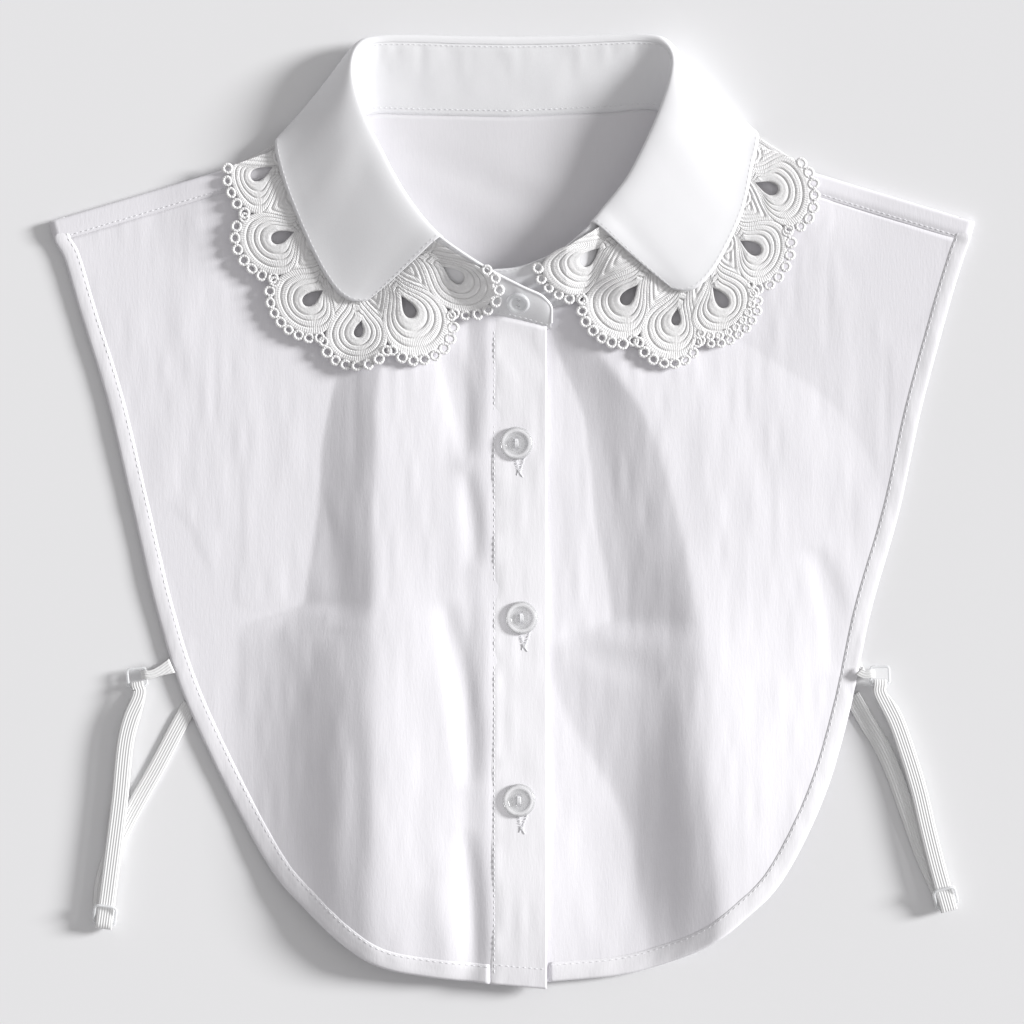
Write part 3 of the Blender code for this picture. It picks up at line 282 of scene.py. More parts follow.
class Look:
    """A material with a Principled shader; values that never vary are set on its own sockets."""

    def __init__(self, name, **uniform):
        self.material = bpy.data.materials.new(name)
        self.material.use_nodes = True
        self.tree = self.material.node_tree
        self.shader = self.tree.nodes["Principled BSDF"]
        for socket, number in uniform.items():
            self.shader.inputs[socket.replace("_", " ")].default_value = number

    def add(self, kind, settings=None, sockets=None, output=0):
        node = self.tree.nodes.new(kind)
        for name, choice in (settings or {}).items():
            setattr(node, name, choice)
        for name, source in (sockets or {}).items():
            if isinstance(source, Value):
                self.tree.links.new(source.socket, node.inputs[name])
            else:
                node.inputs[name].default_value = source
        return Value(self, node.outputs[output])

    def link(self, socket, source):
        self.tree.links.new(source.socket, self.shader.inputs[socket])

    def object_place(self):
        """Object coordinates as a vector, in metres."""
        return self.add("ShaderNodeTexCoord", output="Object")

    def cloth_axes(self):
        """The piece's own UV map as a vector and two numbers, in cm along and across the cloth."""
        vector = self.add("ShaderNodeUVMap", {"uv_map": "cloth"})
        return (vector, *[self.add("ShaderNodeSeparateXYZ", sockets={"Vector": vector}, output=k)
                          for k in range(2)])

    def attribute(self, name):
        return self.add("ShaderNodeAttribute", {"attribute_name": name}, output="Fac")

    def noise(self, vector, stretch, scale, detail):
        """Noise on stretched coordinates, from 0 to 1 round 0.5."""
        placed = self.add("ShaderNodeMapping", sockets={"Vector": vector, "Scale": stretch})
        return self.add("ShaderNodeTexNoise", sockets={"Vector": placed, "Scale": scale, "Detail": detail,
                                                       "Roughness": 0.55})

    def colour(self, share, dark, light):
        """A colour between two, for a share from 0 to 1."""
        return self.add("ShaderNodeMix", {"data_type": "RGBA"},
                        {0: share, 6: (*dark, 1.0), 7: (*light, 1.0)}, output=2)

    def bump(self, height, distance, strength):
        return self.add("ShaderNodeBump", sockets={"Height": height, "Distance": distance,
                                                   "Strength": strength})

# %% [markdown]
# ## Crepe
# The bib is a light crinkled crepe. Its threads are twisted so hard that some draw up into slubs, which run down
# the cloth about 1 mm apart and 4 to 16 mm long. Noise stretched five to one and ten to one along the thread gives
# them, a finer noise gives the weave, and a broad one keeps the white from being even.

# %% The cloths
def crepe(name, along=(1.0, 0.2, 1.0), tint=(0.845, 0.832, 0.868), raise_by=0.00009):
    """Height = 0.6 * slub + 0.3 * long slub + 0.3 * weave, each a noise; along is the slubs' stretch."""
    look = Look(name, Roughness=0.86, Sheen_Weight=0.12, Sheen_Roughness=0.5, Specular_IOR_Level=0.25)
    place = look.object_place()
    slub = look.noise(place, along, 1250.0, 1.0)
    long_slub = look.noise(place, (along[0], along[1] * 0.5, along[2]), 640.0, 1.0)
    weave = look.noise(place, (1.0, 0.6, 1.0), 2600.0, 1.0)
    broad = look.noise(place, (1.0, 1.0, 1.0), 22.0, 2.0)
    height = slub * 0.6 + long_slub * 0.3 + weave * 0.3
    shade = ((slub - 0.5) * 0.9 + (long_slub - 0.5) * 0.3 + (broad - 0.5) * 0.4 + 0.5).clamp()
    dark = tuple(0.965 * part for part in tint)
    look.link("Base Color", look.colour(shade, dark, tint))
    look.link("Roughness", 0.82 + 0.1 * weave)
    look.link("Normal", look.bump(height, raise_by, 0.8))
    return look.material


def plain_weave(name, tint=(0.86, 0.86, 0.875)):
    """Close smooth shirting: warp and weft 0.35 mm apart, barely raised, a little uneven every 17 mm or so."""
    look = Look(name, Roughness=0.8, Sheen_Weight=0.1, Sheen_Roughness=0.4, Specular_IOR_Level=0.3)
    _, u, v = look.cloth_axes()
    threads = (u * 180.0).sine() * (v * 180.0).sine()
    place = look.object_place()
    uneven = look.noise(place, (1.0, 1.0, 1.0), 60.0, 3.0)
    fine = look.noise(place, (1.0, 1.0, 1.0), 1500.0, 1.0)
    look.link("Base Color", look.colour((uneven * 0.8 + fine * 0.2).clamp(), (0.82, 0.82, 0.84), tint))
    look.link("Roughness", 0.76 + 0.08 * fine)
    look.link("Normal", look.bump(threads * 0.25 + fine * 0.5, 0.00006, 0.7))
    return look.material


def lace_thread(name, tint=(0.92, 0.915, 0.92)):
    """Satin-stitched cotton: threads lie across each band, 0.7 mm apart, so the pattern follows the UV map,
    where u runs along the band and v across it."""
    look = Look(name, Roughness=0.7, Sheen_Weight=0.1, Sheen_Roughness=0.4, Specular_IOR_Level=0.35)
    vector, u, _ = look.cloth_axes()
    wander = look.noise(vector, (1.0, 1.0, 1.0), 6.0, 1.0)
    threads = (u * 90.0 + wander * 4.0).sine()
    place = look.object_place()
    fuzz = look.noise(place, (1.0, 1.0, 1.0), 1500.0, 2.0)
    # Painted shade: this attribute darkens the thread's colour where the bands are low, in the grooves.
    deep = look.attribute("deep")
    shade = (0.8 + 0.06 * threads + 0.35 * (fuzz - 0.5) - 0.9 * deep).clamp()
    look.link("Base Color", look.colour(shade, (0.76, 0.755, 0.745), tint))
    look.link("Roughness", 0.66 + 0.12 * fuzz)
    look.link("Normal", look.bump(threads * 0.2 + fuzz * 0.9, 0.00026, 0.9))
    return look.material


def ribbed_elastic(name, tint=(0.90, 0.90, 0.90)):
    """Woven elastic: ribs run along the band 1.05 mm apart, and the weft crosses them every 0.55 mm."""
    look = Look(name, Roughness=0.72, Sheen_Weight=0.1, Specular_IOR_Level=0.35)
    _, across, along = look.cloth_axes()
    rib = (across * 2.0 * math.pi / 0.105).sine()
    weft = (along * 2.0 * math.pi / 0.055).sine()
    place = look.object_place()
    fuzz = look.noise(place, (1.0, 1.0, 1.0), 1800.0, 2.0)
    shade = (0.62 + 0.3 * rib + 0.1 * weft + 0.4 * (fuzz - 0.5)).clamp()
    look.link("Base Color", look.colour(shade, (0.80, 0.80, 0.80), tint))
    look.link("Roughness", 0.7 + 0.1 * fuzz)
    look.link("Normal", look.bump(rib * 0.8 + weft * 0.3 + fuzz * 0.3, 0.00010, 0.8))
    return look.material


def sewing_thread(name, tint=(0.86, 0.86, 0.88)):
    """Two-ply polyester thread: a fine twist along each stitch."""
    look = Look(name, Roughness=0.5, Specular_IOR_Level=0.5)
    _, along, around = look.cloth_axes()
    twist = (along * 60.0 + around * 40.0).sine()
    look.link("Base Color", look.colour((0.7 + 0.3 * twist).clamp(), (0.72, 0.72, 0.74), tint))
    look.link("Roughness", 0.5 + 0.08 * twist)
    return look.material


def clear_plastic(name, tint=(0.90, 0.91, 0.925), cover=0.55):
    """Moulded clear plastic, a little milky, with faint flow marks: it covers 55% of what lies under it."""
    look = Look(name, Roughness=0.16, Alpha=cover, IOR=1.47, Specular_IOR_Level=0.6)
    place = look.object_place()
    flow = look.noise(place, (1.0, 1.0, 3.0), 320.0, 2.0)
    look.link("Base Color", look.colour(flow, tuple(0.93 * part for part in tint), tint))
    look.link("Roughness", 0.12 + 0.16 * flow)
    look.link("Normal", look.bump(flow, 0.00005, 0.4))
    return look.material


def clear_button(name, tint=(0.97, 0.97, 0.98)):
    """The buttons' clear plastic. U is the distance from the middle as a share of the radius: the rim is thick
    and covers what lies under it, and the thin floor inside it lets most of it through. Its colour is painted light:
    painted shade on the rim and the floor, and a painted highlight on the raised ring."""
    look = Look(name, Roughness=0.14, IOR=1.47, Specular_IOR_Level=0.7)
    _, share, _ = look.cloth_axes()
    place = look.object_place()
    flow = look.noise(place, (1.0, 1.0, 3.0), 320.0, 2.0)
    rim = ((share - 0.84) * 12.0).clamp()
    raised_ring = ((share - 0.66) * 12.0).clamp() * (1.0 - rim)
    look.link("Alpha", 0.30 + 0.25 * rim + 0.12 * raised_ring + 0.08 * flow)
    # Painted shade and highlight: the rim is painted dark grey, the floor grey and the raised ring near white, on a
    # plastic of one colour.
    floor_painted_shade, rim_painted_shade = (0.70, 0.705, 0.71), (0.58, 0.58, 0.59)
    inner = look.colour(raised_ring, floor_painted_shade, tint)
    look.link("Base Color", look.add("ShaderNodeMix", {"data_type": "RGBA"},
                                     {0: rim, 6: inner, 7: (*rim_painted_shade, 1.0)}, output=2))
    look.link("Normal", look.bump(flow, 0.00005, 0.4))
    return look.material


FRONT_CLOTH = crepe("front_crepe")
BINDING_CLOTH = crepe("binding_crepe", tint=(0.85, 0.84, 0.868))
# Painted shade: the back is the same crepe as the fronts and its flaps, tinted darker for the inside of the neck
# opening.
SHADED_BACK_CLOTH = crepe("back_crepe_painted_shade", tint=(0.765, 0.755, 0.78), raise_by=0.00005)
COLLAR_CLOTH = plain_weave("collar_weave")
LACE_COTTON = lace_thread("lace_cotton")
STRAP_ELASTIC = ribbed_elastic("strap_elastic")
THREAD = sewing_thread("white_thread")
CLEAR = clear_plastic("clear_plastic")
CLEAR_BUTTON_PAINTED_LIGHT = clear_button("clear_button")
print("materials:", len(bpy.data.materials))

# %% [markdown]
# ## The lie of the cloth
# Cloth that is laid on a table keeps the folds it was carried with. Here two long folds run down from the collar's
# points, each steep on its left and gentle on its right, and they lift whatever is sewn on: bindings, placket,
# buttons. So the folds are one height function of the plan point, and every layer adds its own share above it.

# %% Tables of the folds
FOLD_LEFT = (
    # y, crest_x, left_width, right_width, height
    (88.0, -46.0, 12.0, 30.0, 0.0),
    (62.0, -53.0, 16.0, 62.0, 3.2),
    (30.0, -56.0, 20.0, 84.0, 5.4),
    (0.0, -56.0, 22.0, 92.0, 6.0),
    (-28.0, -56.0, 26.0, 98.0, 7.2),
    (-50.0, -56.0, 28.0, 100.0, 10.2),
    (-85.0, -56.0, 30.0, 100.0, 13.2),
    (-130.0, -56.0, 30.0, 100.0, 13.6),
    (-165.0, -56.0, 28.0, 96.0, 11.6),
    (-198.0, -56.0, 26.0, 90.0, 3.4),
)
FOLD_RIGHT = (
    # y, crest_x, left_width, right_width, height
    (88.0, 22.0, 8.0, 40.0, 0.0),
    (66.0, 36.0, 16.0, 60.0, 3.2),
    (40.0, 55.0, 24.0, 74.0, 4.8),
    (0.0, 68.0, 32.0, 80.0, 6.0),
    (-30.0, 74.0, 32.0, 70.0, 7.6),
    (-60.0, 78.0, 34.0, 56.0, 9.6),
    (-95.0, 80.0, 34.0, 57.0, 10.0),
    (-135.0, 83.0, 32.0, 66.0, 10.0),
    (-165.0, 85.0, 28.0, 54.0, 7.8),
    (-198.0, 84.0, 24.0, 40.0, 2.4),
)
FOLD_CREST, FOLD_STEEP = 0.09, 1.15
# Below its knee a fold's left side spreads out.
KNEE_LEFT = {"start": 36.0, "end": 48.0, "extra": 25.0, "gone": 900.0, "power": 1.6, "gentle": 1.2}
KNEE_RIGHT = {"start": 43.0, "end": 55.0, "extra": 26.0, "gone": 135.0, "power": 1.25, "gentle": 1.05}
# Smaller creases, each a soft trough (or a ridge, where the depth is negative) along a bow between two points.
FRONT_CREASES = (
    # x, y at one end, x, y at the other, bow, width, depth
    (-30.0, 70.0, -19.0, 22.0, 2.0, 4.8, 1.7),
    (-20.0, 18.0, -15.5, -22.0, 1.5, 3.8, 1.0),
    (-28.0, -36.0, -17.0, -112.0, 2.0, 5.2, 2.0),
    (-20.0, -130.0, -15.0, -192.0, 1.5, 4.6, 1.9),
    (-72.0, -50.0, -72.0, -178.0, 0.0, 8.0, -1.2),
    (70.0, -66.0, 73.0, -176.0, 0.0, 7.0, -1.2),
    (-9.0, 76.0, 12.0, 52.0, 2.0, 4.5, 0.8),
    (-150.0, 4.0, -128.0, -50.0, 5.0, 6.0, 1.0),
    (-128.0, -40.0, -76.0, -44.0, -3.0, 4.0, 0.8),
    (-84.0, 8.0, -68.0, -46.0, 3.0, 6.0, 0.7),
    (20.0, -48.0, 62.0, -66.0, -3.0, 6.0, 0.9),
    (123.0, -14.0, 133.0, -66.0, 3.0, 5.0, 1.3),
    (133.0, 120.0, 168.0, 78.0, 4.0, 12.0, 0.8),
    (56.0, 50.0, 70.0, -20.0, 3.0, 10.0, 0.4),
    (112.0, 60.0, 128.0, 8.0, -4.0, 14.0, -0.4),
    (30.0, -120.0, 46.0, -176.0, -3.0, 8.0, 0.6),
    (-34.0, -150.0, -24.0, -190.0, 2.0, 6.0, -0.5),
)
BACK_CREASES = (
    (-48.0, 150.0, 30.0, 128.0, -4.0, 7.0, 0.6),
    (-10.0, 138.0, 52.0, 118.0, 3.0, 6.0, -0.5),
    (24.0, 158.0, 60.0, 138.0, -3.0, 6.0, 0.6),
    (-40.0, 124.0, 4.0, 98.0, 4.0, 8.0, 0.5),
    (-120.0, 80.0, -60.0, -40.0, 9.0, 12.0, -0.7),
    (90.0, 60.0, 40.0, -90.0, -8.0, 12.0, -0.7),
    (-20.0, 20.0, 30.0, -120.0, 6.0, 10.0, -0.6),
    (60.0, 90.0, 120.0, 20.0, 5.0, 9.0, -0.6),
)

# %% Height functions
def crease_heights(x, y, creases):
    """Sum of troughs: -depth * exp(-(distance from the bow / width)^2) * (4t(1 - t))^0.7 along its length."""
    total = np.zeros(np.broadcast(x, y).shape)
    for x0, y0, x1, y1, bow, width, depth in creases:
        length = math.hypot(x1 - x0, y1 - y0)
        ahead = ((x1 - x0) / length, (y1 - y0) / length)
        along = np.clip(((x - x0) * ahead[0] + (y - y0) * ahead[1]) / length, 0.0, 1.0)
        rise = 4.0 * along * (1.0 - along)
        aside = (y - y0) * ahead[0] - (x - x0) * ahead[1] - bow * rise
        total -= depth * np.exp(-(aside / width)**2) * rise**0.7
    return total


def back_height(x, y):
    """Underside of the back: on the ground, and raised where the fall and its lace lie under it."""
    return BACK_LIFT * ramp(y, 96.0, 124.0) * ramp(-np.abs(x), -150.0, -120.0)


def fold_height(x, y, table, knee):
    """height * (1 - distance from the crest / width)^power, where the crest, widths and height are read from
    the table at the point's y, and the left width grows by the knee's extra below it."""
    rows = smooth_rows(table[::-1], 60, even=False)
    crest, left, right, height = (np.interp(y, rows[:, 0], rows[:, k]) for k in (1, 2, 3, 4))
    below = ramp(-y, knee["start"], knee["end"])
    left = left + knee["extra"] * below * (1.0 - ramp(-y, knee["end"], knee["gone"]))
    reach = (x - crest) / np.where(x < crest, left, right)
    away = np.sqrt(reach**2 + FOLD_CREST**2) - FOLD_CREST
    power = np.where(x < crest, mix(FOLD_STEEP, knee["power"], below), knee["gentle"])
    return height * np.clip(1.0 - away, 0.0, 1.0)**power


def folds(x, y):
    """Both long folds together."""
    return fold_height(x, y, FOLD_LEFT, KNEE_LEFT) + fold_height(x, y, FOLD_RIGHT, KNEE_RIGHT)


def front_height(x, y, side):
    """Underside of a front: its base, the folds, the lap over the other front, and the ridge by the placket."""
    x, y = np.asarray(x, float), np.asarray(y, float)
    level = FRONT_BASE + back_height(x, y) + folds(x, y)
    if side == "left":
        level = level + LAYER * ramp(x, *LAP)
        level = level + PLACKET_SWELL * np.exp(-((x + 20.0 - 0.05 * y) / 7.0)**2) * ramp(-y, -60.0, -20.0)
    return level


def front_ripple(x, y):
    """What the thin cloth adds to the part's own form: creases and a faint unevenness, none at the edges that
    are held down. It never goes lower than the layer below allows."""
    ripple = crease_heights(x, y, FRONT_CREASES) + 0.16 * soft_noise(x, y, 9.0, 26.0, 3)
    ripple = ripple + 0.10 * soft_noise(x, y, 3.4, 15.0, 4)
    lifted = folds(x, y)
    room = 0.1 + 0.8 * ramp(lifted, 0.3, 2.5) + 1.6 * ramp(lifted, 2.0, 5.0) * ramp(-x, 10.0, 14.0)
    return np.where(ripple < 0.0, room * np.tanh(ripple / room), ripple)


def front_level(x, y, side):
    """Underside of a front as it shows."""
    return front_height(x, y, side) + LIFT + front_ripple(np.asarray(x, float), np.asarray(y, float))


print("height of the left crest:", [round(float(folds(-56.0, y)), 1) for y in (60.0, 0.0, -130.0)])

# %% [markdown]
# ## Fronts, bindings and placket
# Each front is one cut piece, so it is one grid: a ray runs from every point of its outer edge to the neck seam.
# The binding is a turned edge and the placket a folded band, both sewn on top, so both are cut from the same
# grid's points, moved up by a layer. Solidify gives all of them their wall, and a soft roll along each edge.

# %% Tables of the outline
SIDES = (
    # left_x, left_y, right_x, right_y
    (-187.5, 111.0, 187.3, 111.0),
    (-183.5, 103.5, 184.5, 103.0),
    (-177.5, 83.0, 178.5, 83.0),
    (-166.0, 45.5, 167.5, 42.0),
    (-155.5, 0.5, 158.5, 0.5),
    (-146.0, -40.0, 147.0, -40.0),
    (-135.0, -74.5, 138.5, -80.0),
    (-116.5, -114.5, 127.5, -116.5),
    (-99.0, -146.0, 111.0, -149.5),
    (-85.5, -161.5, 96.0, -165.5),
    (-69.5, -176.5, 80.0, -177.5),
    (-55.0, -185.5, 60.0, -185.5),
    (-36.0, -189.7, 42.5, -189.7),
)
HEM_LEFT, HEM_RIGHT = (-192.8, -195.0), (-192.2, -193.5)
SHOULDER_TIPS = ((-190.0, 119.5), (189.6, 119.5))
NECK_POINTS = ((-70.6, 154.8), (70.6, 155.6))
COLLAR_LEFT = (
    # seat_x, seat_y, on_front, roll_x, roll_y, roll_z, edge_x, edge_y, edge_z, tuck
    (0.0, 162.8, 0.0, 0.0, 192.0, 7.0, 0.0, 156.0, 0.5, 1.0),
    (-22.0, 163.2, 0.0, -22.0, 192.4, 7.0, -30.0, 156.3, 0.5, 1.0),
    (-42.0, 163.6, 0.0, -41.0, 193.0, 7.2, -57.0, 157.0, 0.5, 1.0),
    (-56.5, 164.0, 0.0, -54.5, 192.8, 8.0, -76.0, 157.0, 0.5, 1.0),
    (-64.0, 162.0, 0.2, -62.0, 190.6, 10.5, -88.5, 155.0, 0.5, 0.9),
    (-68.5, 157.0, 0.6, -65.2, 184.6, 12.8, -97.0, 152.4, 6.4, 0.4),
    (-70.0, 147.0, 1.0, -64.8, 174.5, 15.0, -94.8, 139.0, 8.8, 0.1),
    (-66.5, 133.0, 1.0, -60.3, 161.0, 15.8, -88.4, 121.5, 9.0, 0.0),
    (-59.0, 118.5, 1.0, -54.0, 148.5, 15.9, -80.0, 103.0, 8.7, 0.0),
    (-51.5, 107.0, 1.0, -48.0, 137.0, 15.8, -73.0, 91.8, 8.4, 0.0),
    (-44.5, 99.0, 1.0, -41.8, 127.0, 15.6, -67.6, 87.4, 8.2, 0.0),
    (-37.0, 92.8, 1.0, -34.8, 118.0, 15.4, -63.0, 86.6, 8.0, 0.0),
    (-31.0, 88.8, 1.0, -28.5, 111.8, 15.6, -59.1, 87.1, 8.0, 0.0),
)
COLLAR_RIGHT = (
    # seat_x, seat_y, on_front, roll_x, roll_y, roll_z, edge_x, edge_y, edge_z, tuck
    (0.0, 162.8, 0.0, 0.0, 192.0, 7.0, 0.0, 156.0, 0.5, 1.0),
    (22.0, 163.8, 0.0, 22.0, 192.4, 7.0, 30.0, 156.5, 0.5, 1.0),
    (41.0, 164.8, 0.0, 40.5, 193.2, 7.2, 57.0, 157.5, 0.5, 1.0),
    (55.0, 166.0, 0.0, 53.5, 193.4, 8.0, 77.0, 158.0, 0.5, 1.0),
    (63.0, 164.0, 0.2, 61.5, 191.6, 10.5, 90.5, 157.0, 0.5, 0.9),
    (68.5, 158.0, 0.6, 65.2, 185.6, 12.8, 100.5, 155.2, 6.4, 0.4),
    (69.6, 148.0, 1.0, 64.2, 176.0, 15.0, 98.2, 141.0, 8.8, 0.1),
    (66.5, 134.5, 1.0, 59.6, 162.5, 15.8, 94.2, 123.0, 9.0, 0.0),
    (59.5, 120.5, 1.0, 53.8, 149.5, 15.9, 86.5, 106.0, 8.7, 0.0),
    (52.5, 109.0, 1.0, 47.6, 137.5, 15.8, 80.6, 97.0, 8.4, 0.0),
    (46.0, 101.5, 1.0, 42.6, 130.5, 15.8, 75.4, 92.2, 8.2, 0.0),
    (39.5, 95.8, 1.0, 37.2, 124.0, 15.6, 70.6, 91.0, 8.0, 0.0),
    (33.5, 91.8, 1.0, 31.8, 117.6, 15.8, 65.6, 91.8, 8.0, 0.0),
)
TAB_LEFT = (
    # seat_x, seat_y, roll_x, roll_y, roll_z
    (-20.0, 84.8, -19.0, 105.2, 15.2),
    (-8.5, 82.0, -7.5, 98.2, 13.4),
    (5.5, 79.0, 4.8, 92.0, 11.8),
    (12.2, 77.2, 11.8, 88.9, 10.4),
    (15.8, 76.6, 16.0, 84.6, 7.8),
)
TAB_RIGHT = (
    # seat_x, seat_y, roll_x, roll_y, roll_z
    (22.0, 86.4, 20.4, 107.8, 14.2),
    (14.6, 84.6, 13.6, 104.6, 12.4),
    (2.5, 84.2, 2.6, 100.6, 10.8),
    (-9.0, 84.6, -8.6, 99.4, 10.2),
)
COLLARS = {"left": COLLAR_LEFT, "right": COLLAR_RIGHT}
TABS = {"left": TAB_LEFT, "right": TAB_RIGHT}
HANDS = {"left": 1.0, "right": -1.0}

# %% The fronts
FRONT_RAYS, STRIP_RAYS, FRONT_RINGS = 176, 14, 128


def resample(points, count):
    """The same path at count even stations."""
    travel = travel_of(points)
    wanted = np.linspace(0.0, travel[-1], count)
    return np.stack([np.interp(wanted, travel, points[:, k]) for k in range(points.shape[1])], axis=1)


def front_outline(side):
    """Outer and neck points of a front's rays, from the shoulder seam round the hem to the centre edge. The
    last rays are upright and carry the placket on the left, or lie under it on the right."""
    rows, collar = np.array(SIDES), COLLARS[side]
    column = 0 if side == "left" else 2
    if side == "left":
        stop, end, hem = PLACKET_LEFT, PLACKET_RIGHT, HEM_LEFT
    else:
        stop, end, hem = PLACKET_RIGHT + 0.5, UNDERLAP, HEM_RIGHT
    outer = smooth_rows(np.vstack((rows[:, column:column + 2], (stop, hem[0]))), FRONT_RAYS)
    seats = np.array([row[:2] for row in collar[6:] + TABS[side]])
    neck = smooth_rows(seats, 400)
    ahead = unit(np.gradient(neck, axis=0))
    neck = neck - turned(ahead) * NECK_GAP * HANDS[side]
    reach = np.argmin(np.abs(neck[:, 0] - stop))
    inner = resample(neck[:reach + 1], FRONT_RAYS)
    xs = np.linspace(stop, end, STRIP_RAYS + 1)[1:]
    order = np.argsort(neck[:, 0])
    neck_ys = np.interp(xs, neck[order, 0], neck[order, 1])
    outer = np.vstack((outer, np.stack((xs, np.linspace(*hem, STRIP_RAYS + 1)[1:]), axis=1)))
    inner = np.vstack((inner, np.stack((xs, neck_ys), axis=1)))
    top = np.array((-71.4, 145.6) if side == "left" else (71.4, 146.4))
    pull = ramp(-np.arange(len(inner)) / 12.0, -1.0, 0.0)[:, None]
    return outer, inner + (top - inner[0]) * pull


def front_plan(side):
    """Plan points of a front, with the binding's inner edge at column BINDING_RINGS of every ray."""
    outer, inner = front_outline(side)
    inward = turned(unit(np.gradient(outer[:FRONT_RAYS], axis=0))) * HANDS[side]
    inward = np.vstack((inward, np.tile((0.0, 1.0), (STRIP_RAYS, 1))))
    lean = ramp(-np.arange(len(outer)) / 6.0, -1.0, 0.0)[:, None]
    inward = unit(mix(inward, unit(inner - outer), lean))
    upright = ramp(np.arange(len(outer)) - (FRONT_RAYS - 7.0), 0.0, 6.0)[:, None]
    inward = unit(mix(inward, np.array((0.0, 1.0)), upright))
    width = np.minimum(np.linspace(BINDING_TOP, BINDING_HEM, FRONT_RAYS), BINDING_HEM)
    width = np.concatenate((width, np.full(STRIP_RAYS, BINDING_HEM)))
    first = outer + inward * column_of(width)
    edge = np.stack([mix(outer, first, share) for share in np.linspace(0.0, 1.0, BINDING_RINGS + 1)[:-1]], axis=1)
    body = np.stack([mix(first, inner, share) for share in np.linspace(0.0, 1.0, FRONT_RINGS)], axis=1)
    return np.concatenate((edge, body), axis=1)


BINDING_RINGS = 8
FRONT_PLANS = {side: front_plan(side) for side in ("left", "right")}


def front_piece(side):
    """The front's underside at the heights of front_level, thickened upward."""
    plan = FRONT_PLANS[side]
    surface = raised(plan, front_level(plan[..., 0], plan[..., 1], side))
    piece = cloth_piece("front_cloth_" + side, [surface], FRONT_CLOTH)
    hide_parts("front_" + side)
    return piece


front_pieces = {side: front_piece(side) for side in ("left", "right")}
print("front quads:", {side: len(piece.data.polygons) for side, piece in front_pieces.items()})

# %% [markdown]
# ## The turned edges
# Along the sides and the hem the front's edge is turned twice and topstitched, which leaves a flat band of 6.5 mm
# that grows to 8 mm. It could be a bevel on the front, but it is a layer of its own with its own shadow, so it is
# a strip of the front's grid: rounded at the outer fold and drawn down a little under the stitches.

# %% Bindings and placket
STITCH_IN = 1.2                        # topstitching from the edge of the folded layer
BINDING_WALL = 0.5                     # thickness of the folded layers
BINDING_OVER, PLACKET_OVER = 0.52, 0.42   # their undersides above the front's
BINDING_MEAN = 7.2                     # about the mean of its 6.5 to 8 mm


def sewn_relief(from_outer, width):
    """Height across a sewn band: lower towards the outer fold, and a dent exp(-(d / 0.7)^2) at the stitches."""
    roll = -0.35 * np.exp(-(from_outer / 0.9)**2)
    dent = -0.20 * np.exp(-((width - STITCH_IN - from_outer) / 0.7)**2)
    return roll + dent - 0.32 * np.exp(-((width - from_outer) / 0.6)**2)


def binding_surface(side):
    """Rays 0 to FRONT_RAYS of the front out to the binding's inner edge, carried up to the shoulder fold."""
    strip = FRONT_PLANS[side][:FRONT_RAYS, :BINDING_RINGS + 1].copy()
    strip[-1] = mix(strip[-1], strip[-2], 0.1)
    which = 0 if side == "left" else 1
    tip, neck = np.array(SHOULDER_TIPS[which]), np.array(NECK_POINTS[which])
    across = np.linspace(0.0, 1.0, BINDING_RINGS + 1)[:, None]
    top = tip + unit(neck - tip) * BINDING_TOP * across
    upper = np.stack([mix(top, strip[0], share) for share in np.linspace(0.0, 1.0, 9)[:-1]])
    first = np.full(upper.shape[:2], FRONT_BASE + LIFT + SHOULDER_RISE)
    heights = np.concatenate((first, front_level(strip[..., 0], strip[..., 1], side)))
    strip = np.concatenate((upper, strip))
    width = np.linalg.norm(strip[:, -1] - strip[:, 0], axis=-1)[:, None]
    from_outer = width * np.linspace(0.0, 1.0, BINDING_RINGS + 1)
    travel = travel_of(strip[:, 0])[:, None]
    pucker = 0.10 * soft_noise(travel + from_outer, from_outer, 4.0, 5.0, 11)
    pucker = pucker * ramp(width - from_outer, 0.4, 1.4)
    return raised(strip, heights + BINDING_OVER + sewn_relief(from_outer, width) + pucker)


binding_pieces, BINDING_SURFACES = {}, {}
for side in ("left", "right"):
    BINDING_SURFACES[side] = binding_surface(side)
    piece = cloth_piece("binding_edge_" + side, [BINDING_SURFACES[side]], BINDING_CLOTH,
                        thickness=BINDING_WALL)
    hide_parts("binding_" + side)
    binding_pieces[side] = piece


def placket_tilt(x, y):
    """The placket's lower half leans a little to the left: 0.05 mm for each mm from its left edge."""
    return 0.05 * (np.asarray(x, float) - PLACKET_LEFT) * ramp(-np.asarray(y, float), 20.0, 130.0)


def placket_surface():
    """The left front's upright rays, with a dent under both rows of stitches and small puckers along them."""
    strip = FRONT_PLANS["left"][FRONT_RAYS - 1:]
    extra = np.stack([mix(strip[k], strip[k + 1], 0.5) for k in range(len(strip) - 1)])
    full = np.empty((2 * len(strip) - 1,) + strip.shape[1:])
    full[::2], full[1::2] = strip, extra
    x, y = full[..., 0], full[..., 1]
    level = front_level(x, y, "left") + PLACKET_OVER
    inside = np.maximum(x - x[:1], 0.0)
    level = level - 0.14 * np.exp(-((inside - STITCH_IN) / 0.8)**2) - 0.42 * np.exp(-(inside / 0.8)**2)
    level = level + placket_tilt(x, y)
    pucker = soft_noise(x, y, 7.0, 3.8, 21) * np.exp(-((inside - 1.8) / 2.6)**2) * ramp(inside, 0.6, 1.6)
    wave = soft_noise(x + 0.5 * y, y, 13.0, 17.0, 22)
    return raised(full, level + 0.24 * pucker + 0.22 * wave)


PLACKET_SURFACE = placket_surface()
placket_piece = cloth_piece("placket_band", [PLACKET_SURFACE], BINDING_CLOTH, thickness=BINDING_WALL)
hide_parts("placket")
print("binding and placket quads:", len(binding_pieces["left"].data.polygons), len(placket_piece.data.polygons))

